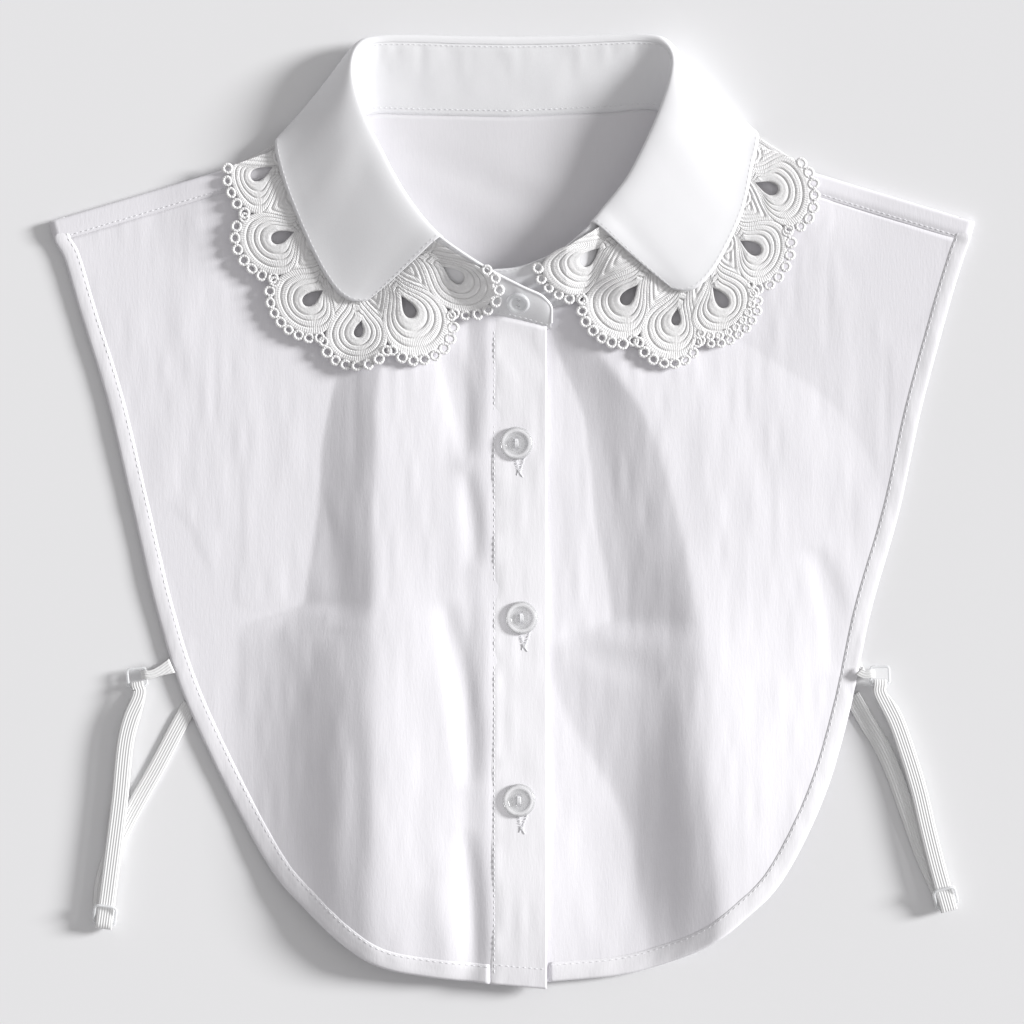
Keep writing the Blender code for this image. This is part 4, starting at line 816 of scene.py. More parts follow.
# %% [markdown]
# ## The back
# The back lies face down with its inside up, and shows through the neck opening. It wraps over both shoulders to
# a seam on the fronts. Four edge curves and the Coons rule (across plus down minus corners) fill in one grid, and
# a half-round strip turns over each shoulder fold. Nobody irons the hidden part, so it gets creases as well.

# %% The back
FOLD_STATIONS, NECK_STATIONS, SIDE_STATIONS = 44, 64, 90
FLAP_CLOTH = 0.6                       # thickness of the shoulder flaps


def coons(top, bottom, left, right):
    """Grid points inside four edge curves that share their corners: top and bottom across, sides down."""
    u = np.linspace(0.0, 1.0, len(top))[:, None, None]
    v = np.linspace(0.0, 1.0, len(left))[None, :, None]
    along = mix(top[:, None], bottom[:, None], v)
    down = mix(left[None], right[None], u)
    corners = mix(mix(top[0], top[-1], u), mix(bottom[0], bottom[-1], u), v)
    return along + down - corners


def back_outline():
    """The back's edges: fold and neck across the top, the two sides, and the hem."""
    tips, necks = np.array(SHOULDER_TIPS), np.array(NECK_POINTS)
    seats = [row[:2] for row in COLLAR_LEFT[4:0:-1]] + [row[:2] for row in COLLAR_RIGHT[:5]]
    seats = np.array(seats) - (0.0, NECK_GAP)
    shoulders = [np.linspace(tip, neck, FOLD_STATIONS) for tip, neck in zip(tips, necks)]
    across = smooth_rows(np.vstack((necks[:1], seats, necks[1:])), NECK_STATIONS)
    top = np.vstack((shoulders[0], across[1:-1], shoulders[1][::-1]))
    rows, turn, sides = np.array(SIDES), 8, []
    for tip, points, sign in ((tips[0], rows[:, 0:2], 1.0), (tips[1], rows[:, 2:4], -1.0)):
        edge = smooth_rows(points[:turn + 1], 40)
        edge = edge + turned(unit(np.gradient(edge, axis=0))) * sign * BACK_INSET
        sides.append(smooth_rows(np.vstack((tip, edge[5::6])), SIDE_STATIONS, crowd=1.35))
    hem = np.vstack((rows[turn + 1:, 0:2] + (2.0, BACK_INSET), (0.0, -193.0 + BACK_INSET),
                     rows[:turn:-1, 2:4] + (-2.0, BACK_INSET)))
    bottom = smooth_rows(np.vstack((sides[0][-1], hem, sides[1][-1])), len(top))
    return top, bottom, sides[0], sides[1]


def back_level(x, y):
    """Underside of the back with its creases, which only rise from where it lies on the ground, and are kept
    low under the fronts."""
    open_neck = ramp(y, 84.0, 104.0) * ramp(-np.abs(x), -66.0, -40.0)
    ripple = crease_heights(x, y, BACK_CREASES) + 0.25 * soft_noise(x, y, 24.0, 15.0, 31)
    ripple = ripple * mix(0.35, 1.0, open_neck) + 0.25
    lowest = 0.02 - back_height(x, y)
    return back_height(x, y) + np.maximum(ripple * ramp(y, -196.0, -170.0), lowest) + 0.05


def shoulder_flap(fold, last):
    """The strip that turns over a shoulder fold: half an oval of FLAP_TOP, then flat for FLAP_WIDTH."""
    square = turned(unit(fold[-1] - fold[0])[None])[0]
    square = -square if square[1] > 0 else square
    lean = np.linspace(0.0, 1.0, len(fold))[:, None]**3
    inward = unit(mix(square, np.array(last), lean))
    level, rows = back_height(fold[:, 0], fold[:, 1]), []
    base = back_level(fold[:, 0], fold[:, 1])
    for angle in np.linspace(0.0, math.pi, 10):
        plan = fold + inward * (FLAP_INSET - 0.4 * math.sin(angle))
        height = mix(base, level + FLAP_TOP + LIFT, (1.0 - math.cos(angle)) / 2.0)
        rows.append(raised(plan, height))
    for reach in np.linspace(0.0, 1.0, 13)[1:]:
        plan = fold + inward * mix(FLAP_INSET, FLAP_WIDTH + 0.5, reach)
        seam = -0.18 * math.exp(-((reach * FLAP_WIDTH - 6.9) / 0.7)**2)
        seam = seam - (1.0 - SHOULDER_RISE) * ramp(reach, 0.45, 1.0)
        seam = seam - 0.45 * ramp(reach, 0.88, 1.0)
        height = back_height(plan[:, 0], plan[:, 1]) + FLAP_TOP + LIFT + seam
        rows.append(raised(plan, height))
    return np.stack(rows, axis=1)


top, bottom, left, right = back_outline()
back_plan = coons(top, bottom, left, right)
BACK_SURFACE = raised(back_plan, back_level(back_plan[..., 0], back_plan[..., 1]))
FLAPS = {"left": shoulder_flap(top[:FOLD_STATIONS], (-0.04, -1.0)),
         "right": shoulder_flap(top[:-FOLD_STATIONS - 1:-1], (0.04, -1.0))}
# Its crepe carries painted shade: a darker tint than the flaps cut from the same cloth.
back_piece = cloth_piece("back_cloth", [BACK_SURFACE], SHADED_BACK_CLOTH)
for side, flap in FLAPS.items():
    cloth_piece("shoulder_flap_" + side, [flap], FRONT_CLOTH, thickness=FLAP_CLOTH)
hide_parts("back_panel")
print("back quads:", len(back_piece.data.polygons))

# %% [markdown]
# ## Stand and fall
# The stand is the upright band that the collar grows from, and the fall is the leaf that turns over it. Both
# follow the same stations round the neck. Across, the stand is a shallow Bezier bow from its seam to the roll, and
# the fall a five-point one: up, over, and down to the points in front, but down and under at the back, where the
# collar was pressed flat. The same curve does both, by sliding its middle points from one place to the other.

# %% The collar
ALONG = 13                             # stations for each row of the collar's tables
ROLL_REACH, SEAM_TUCK = 6.2, 0.35      # the fall's start lies inside the stand's edge
STAND_WIDTH = 31.0
STAND_RINGS, FALL_RINGS = 26, 44       # points across the stand and the fall
COLLAR_WALL = 0.9


def seat_height(x, y, on_front, side):
    """Mid-height of the panel's edge that the stand is sewn to."""
    back = back_height(x, y) + WALL / 2.0
    front = front_height(x, y, side) + WALL / 2.0
    return mix(back, front, on_front)


def stand_rows(side):
    """Seat and roll of the stand, from the middle of the back to its front end, as (n, 6)."""
    rows = [(row[0], row[1], seat_height(row[0], row[1], row[2], side), *row[3:6]) for row in COLLARS[side]]
    for seat_x, seat_y, roll_x, roll_y, roll_z in TABS[side]:
        rows.append((seat_x, seat_y, seat_height(seat_x, seat_y, 1.0, side) + 0.2, roll_x, roll_y, roll_z))
    return np.array(rows)


def stand_half(side):
    """Smooth stations of half the stand."""
    rows = stand_rows(side)
    return smooth_rows(rows, ALONG * (len(rows) - 1) + 1, even=False)


def stand_middle(seat, roll):
    """Control point that bows the stand outward a little."""
    return mix(seat, roll, 0.5) + np.array((0.0, 0.0, 0.8))


def stand_surface():
    """Mid-surface of the stand, from the left tab round the back to the right end."""
    rows = np.vstack((stand_half("left")[::-1], stand_half("right")[1:]))
    seat, roll = rows[:, :3], rows[:, 3:]
    surface = bezier([seat, stand_middle(seat, roll), roll], np.linspace(0.0, 1.0, STAND_RINGS))
    s = travel_of(roll)[:, None]
    t = np.linspace(0.0, STAND_WIDTH, STAND_RINGS)[None, :]
    ripple = 0.12 * soft_noise(s, t, 8.0, 14.0, 41) * ramp(t, 1.0, 5.0) * ramp(-t, -31.0, -26.0)
    dents = -0.12 * (np.exp(-((t - 1.4) / 0.6)**2) + np.exp(-((t - 29.6) / 0.6)**2))
    gathers = 0.16 * soft_noise(s, t, 3.4, 16.0, 43) * ramp(t, 12.0, 27.0) * ramp(-t, -30.5, -28.5)
    surface[..., 2] += ripple + dents + gathers
    surface[:, 0] += unit(surface[:, 0] - surface[:, 1]) * 1.1 - (0.0, 0.0, 0.25)
    return surface


def fall_half(side):
    """Mid-surface of half the fall, from the middle of the back to its front edge."""
    table = np.array(COLLARS[side])
    count = ALONG * (len(table) - 1) + 1
    stand = stand_half(side)[:count]
    rows = smooth_rows(table[:, 6:], count, even=False)
    seat, roll, edge, tuck = stand[:, :3], stand[:, 3:], rows[:, :3], rows[:, 3:]
    rise = unit(roll - stand_middle(seat, roll))
    start = roll - rise * SEAM_TUCK
    outward = np.hstack((unit(roll[:, :2] - (0.0, 150.0)), np.zeros((count, 1))))
    over_near = mix(start, edge, 0.30) + (0.0, 0.0, 3.8)
    over_far = mix(start, edge, 0.68) - (0.0, 0.0, 0.4)
    under_near = start + outward * 5.6
    under_near[:, 2] = 0.6
    under_far = mix(start, edge, 0.42)
    under_far[:, 2] = -1.5
    near, far = mix(over_near, under_near, tuck), mix(over_far, under_far, tuck)
    shares = np.linspace(0.0, 1.0, FALL_RINGS)
    points = bezier([start, start + rise * ROLL_REACH, near, far, edge], shares)
    share = shares[None, :]
    s = travel_of(edge)[:, None]
    soft = 0.35 * soft_noise(s, 50.0 * share, 26.0, 22.0, 51 if side == "left" else 52)
    points[..., 2] += soft * ramp(share, 0.25, 0.5) * ramp(-share, -1.0, -0.85) * (1.0 - tuck)
    points[..., 2] = np.maximum(points[..., 2], WALL / 2.0)
    return points


STAND = stand_surface()
stand_piece = cloth_piece("stand_cloth", [STAND], COLLAR_CLOTH, thickness=COLLAR_WALL, offset=0.0)
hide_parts("collar_stand")
FALLS = {side: fall_half(side) for side in ("left", "right")}
FALL = np.concatenate((FALLS["left"][::-1], FALLS["right"][1:]))
fall_piece = cloth_piece("fall_cloth", [FALL], COLLAR_CLOTH, thickness=COLLAR_WALL, offset=0.0)
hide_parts("collar_fall")
print("collar quads:", len(stand_piece.data.polygons), len(fall_piece.data.polygons))

# %% [markdown]
# ## Guipure lace
# Guipure is embroidered on a ground that is washed away, so it has no net: bands of satin stitch lie side by side
# and hold each other. Here each scallop is a drop-shaped hole with bands round it, a wedge of V-shaped bands fills
# the space to the next scallop, and a row of small rings edges it all. A bump on a flat strip would show no rim
# and cast no shadow, so every band is a ridge in the mesh. The rays of a scallop's grid run from the hole to its
# outline and the rings of the grid sit exactly in the grooves, which keeps the bands crisp at few triangles.

# %% Tables of the lace
LACE_LEFT = {
    "base": ((-95.2, 149.6), (-88.4, 130.5), (-80.6, 111.0), (-70.4, 95.6), (-59.6, 93.4),
             (-44.4, 105.0), (-37.0, 108.8)),
    "notch": ((-117.6, 141.2), (-110.3, 120.5), (-97.9, 94.2), (-77.8, 69.8), (-49.6, 65.6),
              (-24.2, 80.4), (-9.8, 99.2)),
    "tip": ((-118.2, 131.6), (-114.6, 106.2), (-97.8, 77.6), (-67.3, 58.0), (-30.4, 62.4), (-5.4, 84.2)),
    "eye": ((-102.7, 139.4), (-94.1, 113.4), (-81.6, 88.5), (-62.8, 75.4), (-43.0, 84.5), (-24.2, 97.6)),
}
LACE_RIGHT = {
    "base": ((98.6, 151.4), (93.6, 129.0), (86.4, 109.8), (76.6, 98.2), (66.0, 98.0), (47.6, 111.0),
             (40.2, 115.0)),
    "notch": ((119.3, 143.8), (113.4, 115.6), (99.6, 90.3), (75.4, 69.2), (49.8, 69.4),
              (28.0, 87.0), (8.4, 101.2)),
    "tip": ((125.6, 124.9), (113.8, 99.4), (95.8, 73.0), (64.4, 58.6), (32.8, 71.2), (14.5, 89.0)),
    "eye": ((103.9, 133.5), (97.3, 109.1), (84.8, 88.5), (67.1, 80.4), (48.0, 89.5), (31.7, 104.8)),
}
LACES = {"left": LACE_LEFT, "right": LACE_RIGHT}
HOLE_LENGTH, HOLE_WIDTH = 10.0, 5.8
POINT_HOLE = (7.0, 4.2)                # at the collar's point
POINT_SCALLOP = 3
LACE_DROP, LACE_HOVER = 2.7, 1.8
STEM = 2.6                             # half width of a scallop where it meets the leaf
BORDER = 4.2                           # ring border outside the bands
BAND_ENDS = (0.0, 0.34, 0.53, 0.76, 1.0)
BAND_RISE = 0.62
LACE_BASE = 0.68                       # thickness under the grooves
GROOVE_PAINTED_SHADE = 0.42                     # painted shade: how far the thread's colour darkens in a groove
WEDGE_BAND = 1.75                      # width of a band in the wedges
# Across a band: share of its width, and height; a thin groove splits each band into two cords.
BAND_PROFILE = ((0.0, 0.0), (0.1, 0.66), (0.24, 0.95), (0.42, 1.0), (0.5, 0.88), (0.58, 1.0), (0.78, 0.95),
                (0.91, 0.66))

# %% Heights of the lace
def leaf_outline(side):
    """The part of a fall's outline that shows over the fronts: its outer edge and then its front edge."""
    half = FALLS[side]
    return resample(np.vstack((half[5 * ALONG:, -1], half[-1, ::-1][2:40])), 160)


def beyond_fold(x, y, side):
    """How far a point lies outside the shoulder's fold line."""
    tip, neck = (np.array(pair[0 if side == "left" else 1]) for pair in (SHOULDER_TIPS, NECK_POINTS))
    normal = turned(unit(neck - tip)[None])[0]
    normal = normal if normal[1] > 0 else -normal
    return (x - tip[0]) * normal[0] + (y - tip[1]) * normal[1]


def over_stand(x, y, side):
    """Height that clears the stand's outer side, or far below where there is no stand."""
    rows = stand_rows(side)[9:]
    rows = rows[np.argsort(rows[:, 0])]
    seat_y, seat_z, roll_y, roll_z = (np.interp(x, rows[:, 0], rows[:, k]) for k in (1, 2, 4, 5))
    share = (y - seat_y) / (roll_y - seat_y)
    height = mix(seat_z, roll_z, np.clip(share, 0.0, 1.0)) + 1.5
    outside = (share < 0.0) | (x < rows[0, 0]) | (x > rows[-1, 0])
    return np.where(outside, -9.0, height)


def lace_height(plan, side):
    """Underside of the lace: held by the fall's edge, sagging towards the cloth, clear of what is below."""
    x, y = plan[..., 0], plan[..., 1]
    outline = LEAVES[side]
    apart = np.linalg.norm(plan[..., None, :] - outline[:, :2], axis=-1)
    near, distance = np.argmin(apart, axis=-1), np.min(apart, axis=-1)
    top = front_height(x, y, side) + WALL
    hover = mix(outline[near, 2] - LACE_DROP, top + LACE_HOVER, ramp(distance, 2.0, 26.0))
    over_edge = ramp(beyond_fold(x, y, side), 3.0, 7.0)
    floor_level = mix(top + 0.6, WALL + GAP, over_edge)
    hover = mix(hover, WALL + GAP, over_edge)
    return np.maximum(np.maximum(hover, floor_level), over_stand(x, y, side))


LEAVES = {side: leaf_outline(side) for side in ("left", "right")}

# %% One scallop's curves
def half_oval(first, last, tip, count):
    """mix(first, last, (1 - cos a) / 2) + (tip - middle) * sin a, for a from 0 to pi."""
    angle = np.linspace(0.0, math.pi, count)
    along = column_of((1.0 - np.cos(angle)) / 2.0)
    return mix(first, last, along) + (tip - mix(first, last, 0.5)) * column_of(np.sin(angle))


def flank(notch, outward, foot, inward, count):
    """A cubic Bezier from the notch down to the stem's foot, leaving along -outward and arriving along inward."""
    reach = np.linalg.norm(foot - notch)
    points = [np.array([point]) for point in (notch, notch - outward * 0.42 * reach,
                                              foot - inward * 0.38 * reach, foot)]
    return bezier(points, np.linspace(0.0, 1.0, count))[0]


def drop_outline(centre, tip, length, width, count=240):
    """A drop: (-cos t, sin t * sin(t / 2)^1.3) scaled to length and width, its round end towards the tip."""
    t = np.linspace(0.0, 2.0 * math.pi, count, endpoint=False)
    ahead = unit(tip - centre)
    x = -np.cos(t) * length / 2.0
    y = np.sin(t) * np.abs(np.sin(t / 2.0))**1.3 * width / 2.0 * 1.22
    return centre + ahead * column_of(x) + turned(ahead[None])[0] * column_of(y)


def scallop_parts(side, k):
    """The curves of scallop k: its bands' outer edge from foot to foot, both flanks, and its hole."""
    table = LACES[side]
    base, notch = np.array(table["base"]), np.array(table["notch"])
    tip, eye = np.array(table["tip"][k]), np.array(table["eye"][k])
    ends = [notch[j] + unit(base[j] - notch[j]) * (BORDER + 0.9) for j in (k, k + 1)]
    inner_tip = tip - unit(tip - eye) * BORDER
    border = half_oval(ends[0], ends[1], inner_tip, 90)
    outward = unit(inner_tip - mix(ends[0], ends[1], 0.5))
    dense = smooth_rows(base, 40 * (len(base) - 1) + 1, even=False)
    middle = dense[40 * k + 20]
    along = unit(dense[40 * k + 24] - dense[40 * k + 16])
    inward = unit(middle - eye)
    feet = (middle - along * STEM, middle + along * STEM)
    flanks = [flank(end, outward, foot, inward, 46) for end, foot in zip(ends, feet)]
    size = POINT_HOLE if k == POINT_SCALLOP else (HOLE_LENGTH, HOLE_WIDTH)
    return {"border": border, "flanks": flanks, "feet": feet, "eye": eye, "hole": drop_outline(eye, tip, *size)}


def solid_between(plan, under, rise):
    """A closed lace solid: its upper side at under + base + rise, and under it the same plan points again.

    Rows run across (from the hole outwards, or from side to side) and the underside keeps every fourth row.
    """
    top = raised(plan, under + LACE_BASE + rise)
    keep = np.unique(np.concatenate((np.arange(0, plan.shape[0], 4), [plan.shape[0] - 1])))[::-1]
    low = raised(plan[keep], under[keep] + 0.1)
    return np.concatenate((top, low))

# %% Bands, wedges and rings
class Solids:
    """Collects closed grids, their UV and the shade painted into their grooves, to make one mesh of them."""

    def __init__(self):
        self.points, self.faces, self.uv, self.deep, self.count = [], [], [], [], 0

    def add(self, grid, uv, deep, wrap_columns=True):
        """A grid whose rows close on themselves; its faces are turned to point outwards."""
        quads = grid_faces(grid.shape[0], grid.shape[1], wrap_rows=True, wrap_columns=wrap_columns)
        corner = grid.reshape(-1, 3)[quads]
        middle = corner.mean(axis=1)
        area = np.cross(corner[:, 2] - corner[:, 0], corner[:, 3] - corner[:, 1])
        quads = quads if np.sum(middle * area) > 0.0 else quads[:, ::-1]
        self.faces.append(quads + self.count)
        self.points.append(grid.reshape(-1, 3))
        self.uv.append(uv.reshape(-1, 2))
        self.deep.append(deep.reshape(-1))
        self.count += grid.shape[0] * grid.shape[1]

    def add_capped(self, grid, uv, deep):
        """A grid closed along its rows only: both ends of its columns are drawn to one point."""
        ends = [np.repeat(grid[:, k].mean(axis=0)[None], len(grid), axis=0)[:, None] for k in (0, -1)]
        pad = ((0, 0), (1, 1))
        self.add(np.concatenate((ends[0], grid, ends[1]), axis=1),
                 np.pad(uv, pad + ((0, 0),), mode="edge"), np.pad(deep, pad, mode="edge"), wrap_columns=False)

    def piece(self, name, look, slot):
        return new_piece(name, np.vstack(self.points), np.vstack(self.faces), look,
                         np.vstack(self.uv), {"deep": np.concatenate(self.deep)})


def with_underside(values, rows):
    """Values of the upper side, with those of the rows kept for the underside after them."""
    keep = np.unique(np.concatenate((np.arange(0, rows, 4), [rows - 1])))[::-1]
    return np.concatenate((values, values[keep]))


def band_stations():
    """Shares from the hole to the outline, and the height there, band by band."""
    shares, heights = [], []
    for start, end in zip(BAND_ENDS, BAND_ENDS[1:]):
        for share, height in BAND_PROFILE:
            shares.append(mix(start, end, share))
            heights.append(height)
    return np.array(shares + [1.0]), np.array(heights + [0.0])


BAND_SHARES, BAND_HEIGHTS = band_stations()


def scallop_bands(solids, parts, height_of, rise_scale=1.0):
    """Rays from the hole to the outline, and rings at the stations of the bands, whose heights vary a little."""
    foot = np.linspace(parts["feet"][1], parts["feet"][0], 9)
    loop = np.vstack((foot[4:-1], parts["flanks"][0][::-1][:-1], parts["border"][:-1],
                      parts["flanks"][1][:-1], foot[:4]))
    outward = loop - parts["eye"]
    drop = parts["hole"] - parts["eye"]
    angle = np.arctan2(outward[:, 1], outward[:, 0])
    hole_angle = np.arctan2(drop[:, 1], drop[:, 0])
    radius = np.interp(angle, hole_angle[np.argsort(hole_angle)],
                       np.linalg.norm(drop, axis=1)[np.argsort(hole_angle)], period=2.0 * math.pi)
    hole = parts["eye"] + unit(outward) * column_of(radius)
    plan = hole[None] + (loop - hole)[None] * BAND_SHARES[:, None, None]
    around = travel_of(mix(hole, loop, 0.6))
    across = np.linalg.norm(plan - hole[None], axis=-1)
    hand = 0.07 * soft_noise(around[None, :], across, 2.6, 1.8, 61)
    rise = rise_scale * BAND_RISE * BAND_HEIGHTS[:, None] * (1.0 + hand)
    narrow = np.linalg.norm(loop - hole, axis=1)[None, :] / 11.0
    rise = rise * np.clip(narrow * 1.15, 0.35, 1.0)
    grid = solid_between(plan, height_of(plan), rise)
    uv = np.stack((np.broadcast_to(around[None, :], across.shape), across), axis=-1) / 10.0
    # Painted shade in the grooves: the thread's colour darkens where a band is low.
    deep = GROOVE_PAINTED_SHADE * (1.0 - np.broadcast_to(BAND_HEIGHTS[:, None], across.shape))**2
    solids.add(grid, with_underside(uv, len(plan)), with_underside(deep, len(plan)))


def to_curve(plan, curve):
    """Distance from each plan point to the nearest point of a curve."""
    return np.min(np.linalg.norm(plan[..., None, :] - curve, axis=-1), axis=-1)


def wedge_bands(solids, left_edge, right_edge, left_flank, right_flank, height_of):
    """Between two scallops: V bands at even distances from both flanks, |sin(pi w / 1.75)|^0.7, where w is a soft
    minimum of the two distances, and a curl of half rings round the middle of the leaf's edge."""
    across = 36
    share = np.linspace(0.0, 1.0, across)[:, None, None]
    plan = mix(left_edge[None], right_edge[None], share)
    apart = [to_curve(plan, flank) for flank in (left_flank, right_flank) if flank is not None]
    soft = 0.8
    inside = -soft * np.log(sum(np.exp(-distance / soft) for distance in apart)) + soft * math.log(len(apart))
    height = np.abs(np.sin(math.pi * inside / WEDGE_BAND))**0.7
    centre = mix(left_edge[-1], right_edge[-1], 0.5)
    reach = np.linalg.norm(plan - centre, axis=-1)
    curl = 4.4
    height = np.where(reach < curl, np.abs(np.sin(math.pi * (curl - reach) / WEDGE_BAND))**0.7, height)
    height = height * (1.0 - np.exp(-((reach - curl) / 0.3)**2))
    around = np.broadcast_to(travel_of(mix(left_edge, right_edge, 0.5))[None, :], inside.shape)
    rise = BAND_RISE * (height * 0.95 + 0.05 * soft_noise(plan[..., 0], plan[..., 1], 1.1, 1.1, 62))
    uv = np.stack((around, inside), axis=-1) / 10.0
    # Painted shade in the grooves between the V bands: darker where a band is low.
    deep = GROOVE_PAINTED_SHADE * (1.0 - height)**2
    plan, uv, deep, rise = plan[:, 1:], uv[:, 1:], deep[:, 1:], rise[:, 1:]
    grid = solid_between(plan, height_of(plan), rise)
    solids.add_capped(grid, with_underside(uv, across), with_underside(deep, across))


def ring(solids, centre, ahead, length, width, thread, level):
    """A stitched ring: a tube carried round an oval of the given length and width."""
    around = np.linspace(0.0, 2.0 * math.pi, 17)[:-1]
    tube = np.linspace(0.0, 2.0 * math.pi, 7)[:-1]
    side = turned(ahead[None])[0]
    path = centre + ahead * column_of(np.cos(around) * (length / 2.0 - thread))
    path = path + side * column_of(np.sin(around) * (width / 2.0 - thread))
    out = unit(path - centre)
    plan = path[None] + out[None] * (thread * np.cos(tube))[:, None, None]
    height = np.broadcast_to(level + thread * np.sin(tube)[:, None], plan.shape[:2])
    uv = np.stack(np.broadcast_arrays(around[None, :] * length / 4.0, tube[:, None] * thread), axis=-1) / 10.0
    solids.add(raised(plan, height), uv, np.zeros(plan.shape[:2]))


def ring_border(solids, side, k, height_of, dice):
    """Rows of rings round scallop k, each row at its inset, spacing and size, and each ring a little different."""
    table = LACES[side]
    base, notch = np.array(table["base"]), np.array(table["notch"])
    tip, eye = np.array(table["tip"][k]), np.array(table["eye"][k])
    for inset, spacing, size in BORDER_ROWS[side][k]:
        ends = [notch[j] + unit(base[j] - notch[j]) * (inset + 0.5) for j in (k, k + 1)]
        path = half_oval(ends[0], ends[1], tip - unit(tip - eye) * inset, 120)
        count = max(2, round(travel_of(path)[-1] / spacing))
        spots = resample(path, 2 * count + 1)[1::2]
        ways = unit(np.gradient(spots, axis=0))
        for spot, way in zip(spots, ways):
            length, width = size * dice.uniform(0.94, 1.06), size * dice.uniform(0.88, 1.08)
            spot = spot + dice.uniform(-0.15, 0.15, 2)
            lift = float(height_of(spot[None, None])[0, 0])
            ring(solids, spot, way, length, width, RING_THREAD, lift + 0.15 + RING_THREAD)


RING_THREAD = 0.68                     # radius of the rings' cord
# Each row: inset from the edge, spacing, and outer size of a ring.
ROW = ((2.5, 4.75, 4.95),)
TWO_ROWS = ((2.0, 4.0, 4.2), (5.3, 3.9, 4.0))
BORDER_ROWS = {"left": (ROW,) * 6, "right": (ROW, ROW, TWO_ROWS, ROW, ROW, ROW)}

NECK_ENDS = {"left": (-33.0, 111.6), "right": (36.2, 117.2)}   # where the lace runs in at the neckline

# %% The lace on the fronts
def front_lace(side):
    """Six scallops, the wedges between them, and the rings."""
    def height_of(plan):
        return lace_height(plan, side)
    solids, table = Solids(), LACES[side]
    parts = [scallop_parts(side, k) for k in range(6)]
    for part in parts:
        scallop_bands(solids, part, height_of)
    base = np.array(table["base"])
    for k in range(7):
        before, after = (parts[k - 1] if k > 0 else None), (parts[k] if k < 6 else None)
        start = (after or before)["flanks"][0 if after else 1][0]
        end = NECK_ENDS[side] if k == 6 else base[k]
        plain = np.linspace(start, end, 46)
        left_edge = before["flanks"][1] if before else plain
        right_edge = after["flanks"][0] if after else plain
        wedge_bands(solids, left_edge, right_edge, before and left_edge, after and right_edge, height_of)
    dice = np.random.default_rng(71 if side == "left" else 72)
    for k in range(6):
        ring_border(solids, side, k, height_of, dice)
    piece = solids.piece("lace_edging_" + side, LACE_COTTON, "lace_thread")
    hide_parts("lace_" + side)
    return piece


lace_pieces = {side: front_lace(side) for side in ("left", "right")}
for side, piece in lace_pieces.items():
    print("lace", side, "triangles:", 2 * len(piece.data.polygons))

# %% [markdown]
# ## The lace under the back
# The same edging runs on round the collar's hidden edge, where it lies folded under the back on the table. It is
# the same scallop with eight repeats, so the same functions make it, at a fixed height.

# %% The lace under the back
BACK_SCALLOPS, BACK_NOTCH, BACK_REACH = 8, 23.0, 27.0


def back_lace():
    """Eight scallops on the fall's edge from one shoulder to the other, pointing in under the back."""
    edge = np.vstack((FALLS["left"][5 * ALONG::-1, -1, :2], FALLS["right"][1:5 * ALONG + 1, -1, :2]))
    edge = resample(edge, 40 * BACK_SCALLOPS + 1)
    inward = -turned(unit(np.gradient(edge, axis=0)))
    inward = inward * np.sign(-inward[:, 1:])
    inner = edge + inward * (WALL / 2.0)
    notch = inner[::40] + inward[::40] * BACK_NOTCH
    notch[0] = LACE_LEFT["notch"][0] + np.array((0.6, -0.6))
    notch[-1] = LACE_RIGHT["notch"][0] + np.array((-0.6, -0.6))
    notch[1] += (-6.0, 1.0)
    notch[-2] += (6.0, 1.0)
    solids = Solids()
    for k in range(BACK_SCALLOPS):
        bases = inner[40 * k:40 * k + 41]
        middle = mix(notch[k], notch[k + 1], 0.5)
        tip = middle + unit(middle - bases[20]) * (BACK_REACH - BACK_NOTCH)
        spokes = (np.linspace(notch[k], bases[0], 30), np.linspace(notch[k + 1], bases[-1], 30))
        eye = mix(bases[20], tip, 0.5)
        parts = {"border": half_oval(notch[k], notch[k + 1], tip, 60), "flanks": spokes, "eye": eye,
                 "feet": (bases[0], bases[-1]), "hole": drop_outline(eye, tip, 9.0, 5.2)}
        scallop_bands(solids, parts, lambda plan: np.full(plan.shape[:-1], -0.08), rise_scale=0.4)
    piece = solids.piece("lace_edging_back", LACE_COTTON, "lace_thread")
    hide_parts("lace_back")
    return piece


back_lace_piece = back_lace()
print("back lace triangles:", 2 * len(back_lace_piece.data.polygons))

# %% [markdown]
# ## Straps
# A strap is one length of ribbed elastic: a tab folded round a ring, a loop from the ring to a slider, and a
# single run from under the back. All are ribbons, that is a plan path with a height at each step, with the UV map
# running along and across, so the ribs can be drawn by the shader. As real ridges they would cost far more faces.

# %% Tables of the straps
RINGS = {
    # x, y, direction of the foot in degrees from +X, side that the tab comes from
    "left": (-154.0, -67.4, -84.0, 1.0),
    "right": (150.6, -66.6, -88.0, -1.0),
}
RING_LENGTH, RING_WIDTH, RING_CORNER, WIRE = 7.2, 7.6, 1.2, 0.6
LOOP_PATHS = {
    "left": ((-158.4, -92.0), (-161.2, -118.0), (-163.8, -139.0), (-166.6, -161.0), (-167.6, -168.6)),
    "right": ((156.6, -84.0), (162.0, -99.0), (166.5, -114.0), (170.0, -129.0), (174.0, -145.0),
              (178.6, -161.4)),
}
ANCHOR_PATHS = {
    "left": ((-132.0, -78.6), (-136.5, -86.0), (-146.5, -105.0), (-153.5, -117.5), (-161.0, -132.0),
             (-166.8, -147.0), (-168.8, -158.0), (-168.2, -165.6)),
    "right": ((139.2, -75.0), (144.9, -85.0), (151.6, -96.0), (156.8, -107.5), (162.0, -122.0),
              (168.4, -140.0), (174.6, -154.0), (176.6, -161.0)),
}
TAB_STARTS = {"left": (-136.8, -61.4), "right": (139.9, -62.4)}
TAB_UNDER, TAB_WAIST, TAB_OFFSET, LOOP_WAIST = 3.0, 3.4, 0.8, 5.2
ANCHOR_Z, REAR_Z, WIRE_Z, FRONT_Z = 0.5, 1.8, 3.4, 5.0
